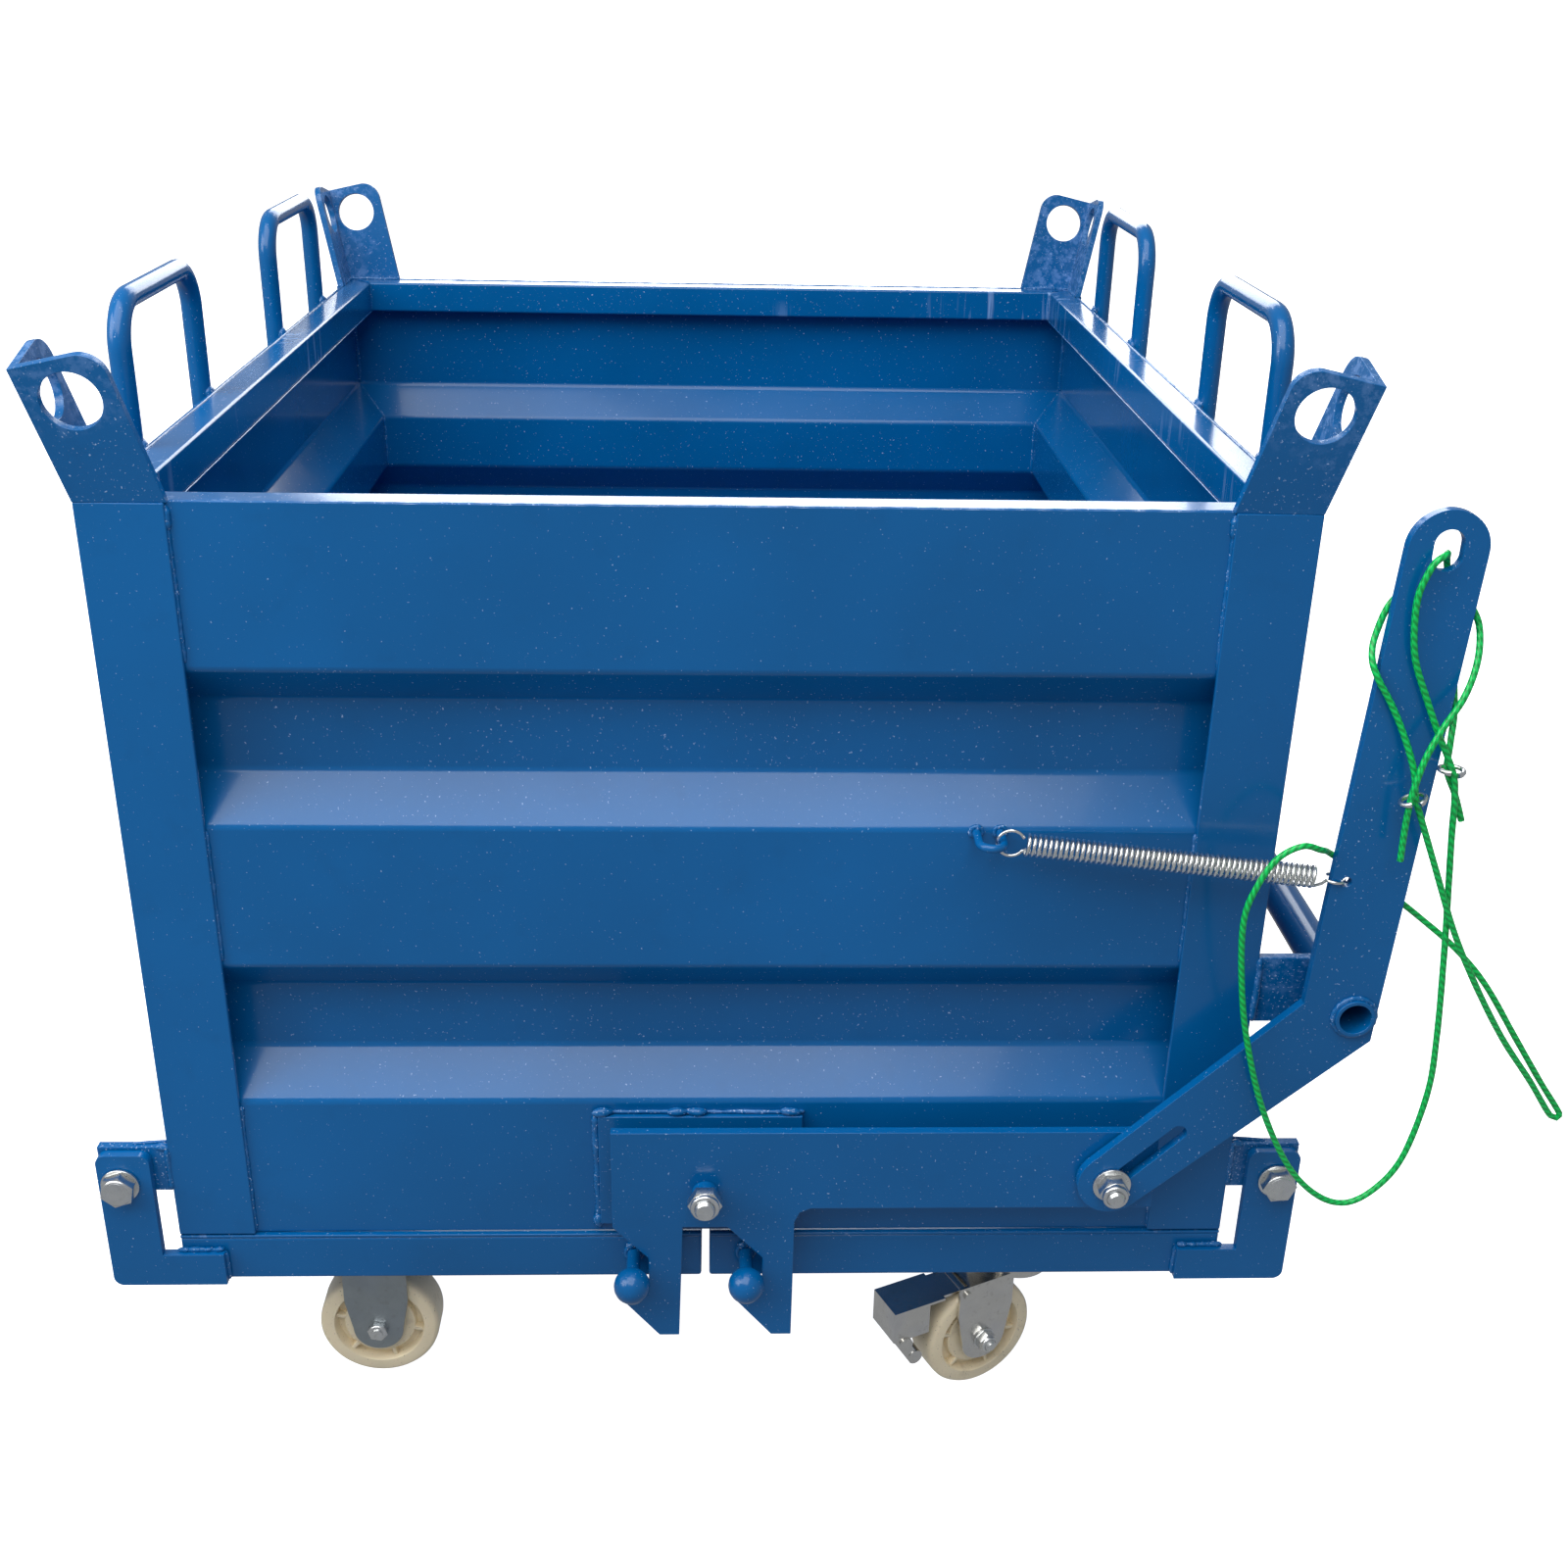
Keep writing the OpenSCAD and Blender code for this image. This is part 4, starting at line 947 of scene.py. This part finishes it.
class BIN_OT_fixed_casters(bpy.types.Operator):
    """Build the fixed casters under the left door"""

    bl_idname = "bin.fixed_casters"
    bl_label = "Fixed casters"

    def execute(self, context):
        rounded_node("fixed_caster_forks", "fixed_forks", "dull", 0.0007)
        bm = bmesh.new()
        for end, word in ends():
            centre = mm(FIXED_X, -CASTER_Y * end, AXLE_Z)
            for side in (-1, 1):
                out = Vector((0, side, 0))
                at = centre + out * 0.027
                hexagon(bm, at, out, 22 * MM, 7.5 * MM, 0.001, 18)
                lathe(bm, [(0, 0), (0.0063, 0), (0.0063, 0.0004), (0, 0.0004)], at + out * 0.0075, out, 28)
            lathe(bm, [(0, 0), (0.006, 0), (0.006, 0.074), (0, 0.074)], centre - Vector((0, 0.037, 0)),
                  Vector((0, 1, 0)), 28)
            wheel = bmesh.new()
            nylon_wheel(wheel, centre, Vector((0, 1, 0)))
            piece(f"left_{word}_nylon", wheel, "nylon", f"left_{word}_wheel", (f"left_{word}_wheel",))
        piece("fixed_axle_bolts", bm, "zinc", "left_door", ("fixed_caster_axles",))
        return {"FINISHED"}


class BIN_OT_swivel_casters(bpy.types.Operator):
    """Build the braked swivel casters under the right door"""

    bl_idname = "bin.swivel_casters"
    bl_label = "Swivel casters"

    def execute(self, context):
        rounded_node("swivel_top_plates", "swivel_plates", "bright", 0.0008)
        rounded_node("swivel_kingpins", "kingpin_bolts", "zinc", 0.0006)
        for end, word in ends():
            king = mm(SWIVEL_X, -CASTER_Y * end, 0)

            def at(along, out, up):
                return king + (TRAIL_X * along + TRAIL_Y * out + Vector((0, 0, up))) * MM

            rounded_node(f"{word}_swivel_fork", f"{word}_swivel_legs", "bright", 0.0008)
            rounded_node(f"{word}_brake_pedal", f"{word}_pedal_press", "bright", 0.0009)
            bm = bmesh.new()
            lathe(bm, [(0, 0), (0.006, 0), (0.006, 0.070), (0, 0.070)], at(SWIVEL_TRAIL, -35, AXLE_Z), TRAIL_Y, 28)
            hexagon(bm, at(SWIVEL_TRAIL, -27, AXLE_Z), -TRAIL_Y, 22 * MM, 7.5 * MM, 0.001, 10)
            washer(bm, at(SWIVEL_TRAIL, 27, AXLE_Z), TRAIL_Y, 24 * MM, 12.2 * MM, 2 * MM)
            lock_nut(bm, at(SWIVEL_TRAIL, 29, AXLE_Z), TRAIL_Y, 22 * MM, 12 * MM)
            bolt_end(bm, at(SWIVEL_TRAIL, 40, AXLE_Z), TRAIL_Y, 12 * MM, 3.6 * MM, 2)
            piece(f"{word}_swivel_bolt", bm, "zinc", f"{word}_swivel", (f"{word}_swivel_axle",))
            wheel = bmesh.new()
            nylon_wheel(wheel, at(SWIVEL_TRAIL, 0, AXLE_Z), TRAIL_Y)
            piece(f"right_{word}_nylon", wheel, "nylon", f"right_{word}_wheel", (f"right_{word}_wheel",))
        return {"FINISHED"}


# ---- welds ----
class BIN_OT_welds(bpy.types.Operator):
    """Lay the weld beads and lumps where the plates and tubes join"""

    bl_idname = "bin.welds"
    bl_label = "Welds"

    def execute(self, context):
        size = context.scene.bin_edges.weld
        self.corner_welds(size)
        self.rim_welds(size)
        self.front_and_rear_welds(size)
        self.door_welds(size)
        self.lever_welds(size)
        return {"FINISHED"}

    def corner_welds(self, size):
        """Post edges to the walls, outside and inside."""
        bm = bmesh.new()
        seed = 1
        for sx in (-1, 1):
            for end, _ in ends():
                for low, high in ((2, 150), (312, 446), (608, 748)):
                    bead(bm, mm(450 * sx, -595.5 * end, low), mm(450 * sx, -595.5 * end, high), size * 0.62, seed)
                    bead(bm, mm(520.5 * sx, -525 * end, low), mm(520.5 * sx, -525 * end, high), size * 0.62, seed + 1)
                    seed += 2
                for low, high in ((4, 154), (306, 449), (601, 708)):
                    bead(bm, mm(516.5 * sx, -591.5 * end, low), mm(516.5 * sx, -591.5 * end, high), size * 0.8, seed)
                    seed += 1
                for z0 in (155, 450):
                    for a, b in (((516.5, 591.5, z0), (476.5, 551.5, z0 + 40)),
                                 ((476.5, 551.5, z0 + 40), (476.5, 551.5, z0 + 110)),
                                 ((476.5, 551.5, z0 + 110), (516.5, 591.5, z0 + 150))):
                        bead(bm, mm(a[0] * sx, -a[1] * end, a[2]), mm(b[0] * sx, -b[1] * end, b[2]), size * 0.6, seed)
                        seed += 1
        piece("corner_beads", bm, "weld", "bin", smooth=60)

    def rim_welds(self, size):
        """Rim mitres, the lines under the rim, hoop feet and lug feet."""
        bm = bmesh.new()
        seed = 50
        for sx in (-1, 1):
            for end, _ in ends():
                bead(bm, mm(516 * sx, -591 * end, 750), mm(486 * sx, -561 * end, 750), size * 0.45, seed, wander=0.2)
                bead(bm, mm(485 * sx, -560 * end, 748), mm(485 * sx, -560 * end, 712), size * 0.5, seed + 1)
                bead(bm, mm(450 * sx, -592 * end, 750.5), mm(520 * sx, -592 * end, 750.5), size * 0.8, seed + 2)
                bead(bm, mm(517 * sx, -530 * end, 750.5), mm(517 * sx, -590 * end, 750.5), size * 0.8, seed + 3)
                bead(bm, mm(449.5 * sx, -596 * end, 746), mm(449.5 * sx, -596 * end, 726), size * 0.9, seed + 4)
                seed += 5
                for leg in (-120, 120):
                    y = -290 * end + leg
                    for off in (-9, 9):
                        bead(bm, mm(521.5 * sx, y + off, 692), mm(521.5 * sx, y + off, 748), size * 0.85, seed)
                        seed += 1
                    blob(bm, mm(522 * sx, y, 750), 0.0085, seed, (0.7, 1.1, 0.8))
                    blob(bm, mm(522 * sx, y, 689), 0.0065, seed + 1, (0.7, 1.2, 0.7))
        for sx in (-1, 1):
            bead(bm, mm(517 * sx, -525, 749.5), mm(517 * sx, 525, 749.5), size * 0.42, seed, 0.004, 0.2)
            bead(bm, mm(484.5 * sx, -556, 711), mm(484.5 * sx, 556, 711), size * 0.25, seed + 1, 0.005, 0.2)
        for end in (-1, 1):
            bead(bm, mm(-450, -592 * end, 749.5), mm(450, -592 * end, 749.5), size * 0.42, seed + 2, 0.004, 0.2)
        piece("rim_beads", bm, "weld", "bin", smooth=60)

    def front_and_rear_welds(self, size):
        """Backing plate, hinge lugs, brackets and the spring's eye."""
        bm = bmesh.new()
        seed = 200
        for end, _ in ends():
            y = -596.5 * end
            bead(bm, mm(-107, y, 143), mm(97, y, 143), size * 0.6, seed)
            bead(bm, mm(-107, y, 141), mm(-107, y, 14), size * 1.25, seed + 1)
            for x in (-101, -28, -8, 83):
                blob(bm, mm(x, y - 2 * end, 144), 0.0062, seed + x, (1.7, 0.8, 0.8))
            blob(bm, mm(-107, y - 2 * end, 14), 0.006, seed + 5, (1, 0.8, 1.4))
            for sx in (-1, 1):
                bead(bm, mm(526 * sx, -599.5 * end, 55), mm(526 * sx, -599.5 * end, 104), size * 0.8, seed + 6)
                bead(bm, mm(526 * sx, -590 * end, 105.5), mm(560 * sx, -594 * end, 105.5), size * 0.5, seed + 7)
                blob(bm, mm(530 * sx, -597 * end, 104), 0.0055, seed + 8, (1.5, 0.8, 0.7))
            bead(bm, mm(526, -600 * end, 249), mm(526, -600 * end, 317), size, seed + 9)
            bead(bm, mm(526, -590 * end, 249), mm(526, -590 * end, 317), size, seed + 10)
            ring_bead(bm, mm(TORQUE_X, -600.5 * end, TORQUE_Z), Y_OUT, 0.0262, size * 0.8, seed + 11)
            seed += 20
        for x in (EYE_X - EYE_BEND, EYE_X + EYE_BEND):
            ring_bead(bm, mm(x, -595.5, EYE_Z), Y_OUT, 0.0052, 0.0024, x)
        piece("bin_beads", bm, "weld", "bin", smooth=60)

    def door_welds(self, size):
        """Hinge arm feet, latch pins and caster plates on both doors."""
        for side, word, caster_x in ((-1, "left", FIXED_X), (1, "right", SWIVEL_X)):
            pin = PIN_X[word]
            bm = bmesh.new()
            seed = 400 + side
            for end, _ in ends():
                bead(bm, mm(528 * side, -602.5 * end, -16.5), mm(483 * side, -602.5 * end, -16.5), size * 0.7, seed)
                bead(bm, mm(480.5 * side, -602 * end, -19), mm(480.5 * side, -602 * end, -54), size * 0.7, seed + 1)
                for k in range(4):
                    blob(bm, mm((487 + 11 * k) * side, -603 * end, -16), 0.0035, seed + k, (1.5, 0.9, 0.7))
                ring_bead(bm, mm(pin, -600.8 * end, PIN_Z), Y_OUT, 0.0082, size * 0.75, seed + 3)
                blob(bm, mm(pin - 3, -602 * end, -15), 0.0045, seed + 9, (1.2, 0.8, 0.8))
                for dx in (-1, 1):
                    x = caster_x + 52.5 * dx
                    bead(bm, mm(x, -578 * end, -56.5), mm(x, -500 * end, -56.5), size * 0.8, seed + 5)
                seed += 12
            piece(f"{word}_door_beads", bm, "weld", f"{word}_door", smooth=60)

    def lever_welds(self, size):
        """Torque tube to the lever and to the rear arm."""
        bm = bmesh.new()
        for end in (-1, 1):
            ring_bead(bm, mm(TORQUE_X, -648.6 * end, TORQUE_Z), Y_OUT, 0.0198, size * 0.75, 700 + end)
            ring_bead(bm, mm(TORQUE_X, -637.6 * end, TORQUE_Z), Y_OUT, 0.0202, size * 0.8, 710 + end)
        piece("lever_beads", bm, "weld", "release_lever", smooth=60)


# ---- panel and start ----
STEPS = (BIN_OT_stage, BIN_OT_rope, BIN_OT_walls, BIN_OT_posts, BIN_OT_rim, BIN_OT_hoops, BIN_OT_hinges,
         BIN_OT_doors, BIN_OT_latches, BIN_OT_lever, BIN_OT_spring, BIN_OT_fixed_casters, BIN_OT_swivel_casters,
         BIN_OT_welds)


class BIN_PT_parts(bpy.types.Panel):
    bl_label = "Bottom-Discharge Bin"
    bl_idname = "BIN_PT_parts"
    bl_space_type = "VIEW_3D"
    bl_region_type = "UI"
    bl_category = "Bin"

    def draw(self, context):
        layout = self.layout
        for group in ("bin_finish", "bin_edges", "bin_spring_rope", "bin_stage"):
            settings = getattr(context.scene, group)
            box = layout.box()
            for name in settings.__annotations__:
                box.prop(settings, name)
        for step in STEPS:
            layout.operator(step.bl_idname)


GROUPS = (("bin_finish", BinFinish), ("bin_edges", BinEdges), ("bin_spring_rope", BinSpringRope),
          ("bin_stage", BinStage))


def register():
    for name, group in GROUPS:
        bpy.utils.register_class(group)
        setattr(bpy.types.Scene, name, PointerProperty(type=group))
    for step in STEPS:
        bpy.utils.register_class(step)
    bpy.utils.register_class(BIN_PT_parts)


def unregister():
    bpy.utils.unregister_class(BIN_PT_parts)
    for step in reversed(STEPS):
        bpy.utils.unregister_class(step)
    for name, group in reversed(GROUPS):
        delattr(bpy.types.Scene, name)
        bpy.utils.unregister_class(group)


def main():
    register()
    make_finishes(bpy.context.scene.bin_finish)
    for step in STEPS:
        group, name = step.bl_idname.split(".")
        getattr(getattr(bpy.ops, group), name)()


if __name__ == "__main__":
    main()
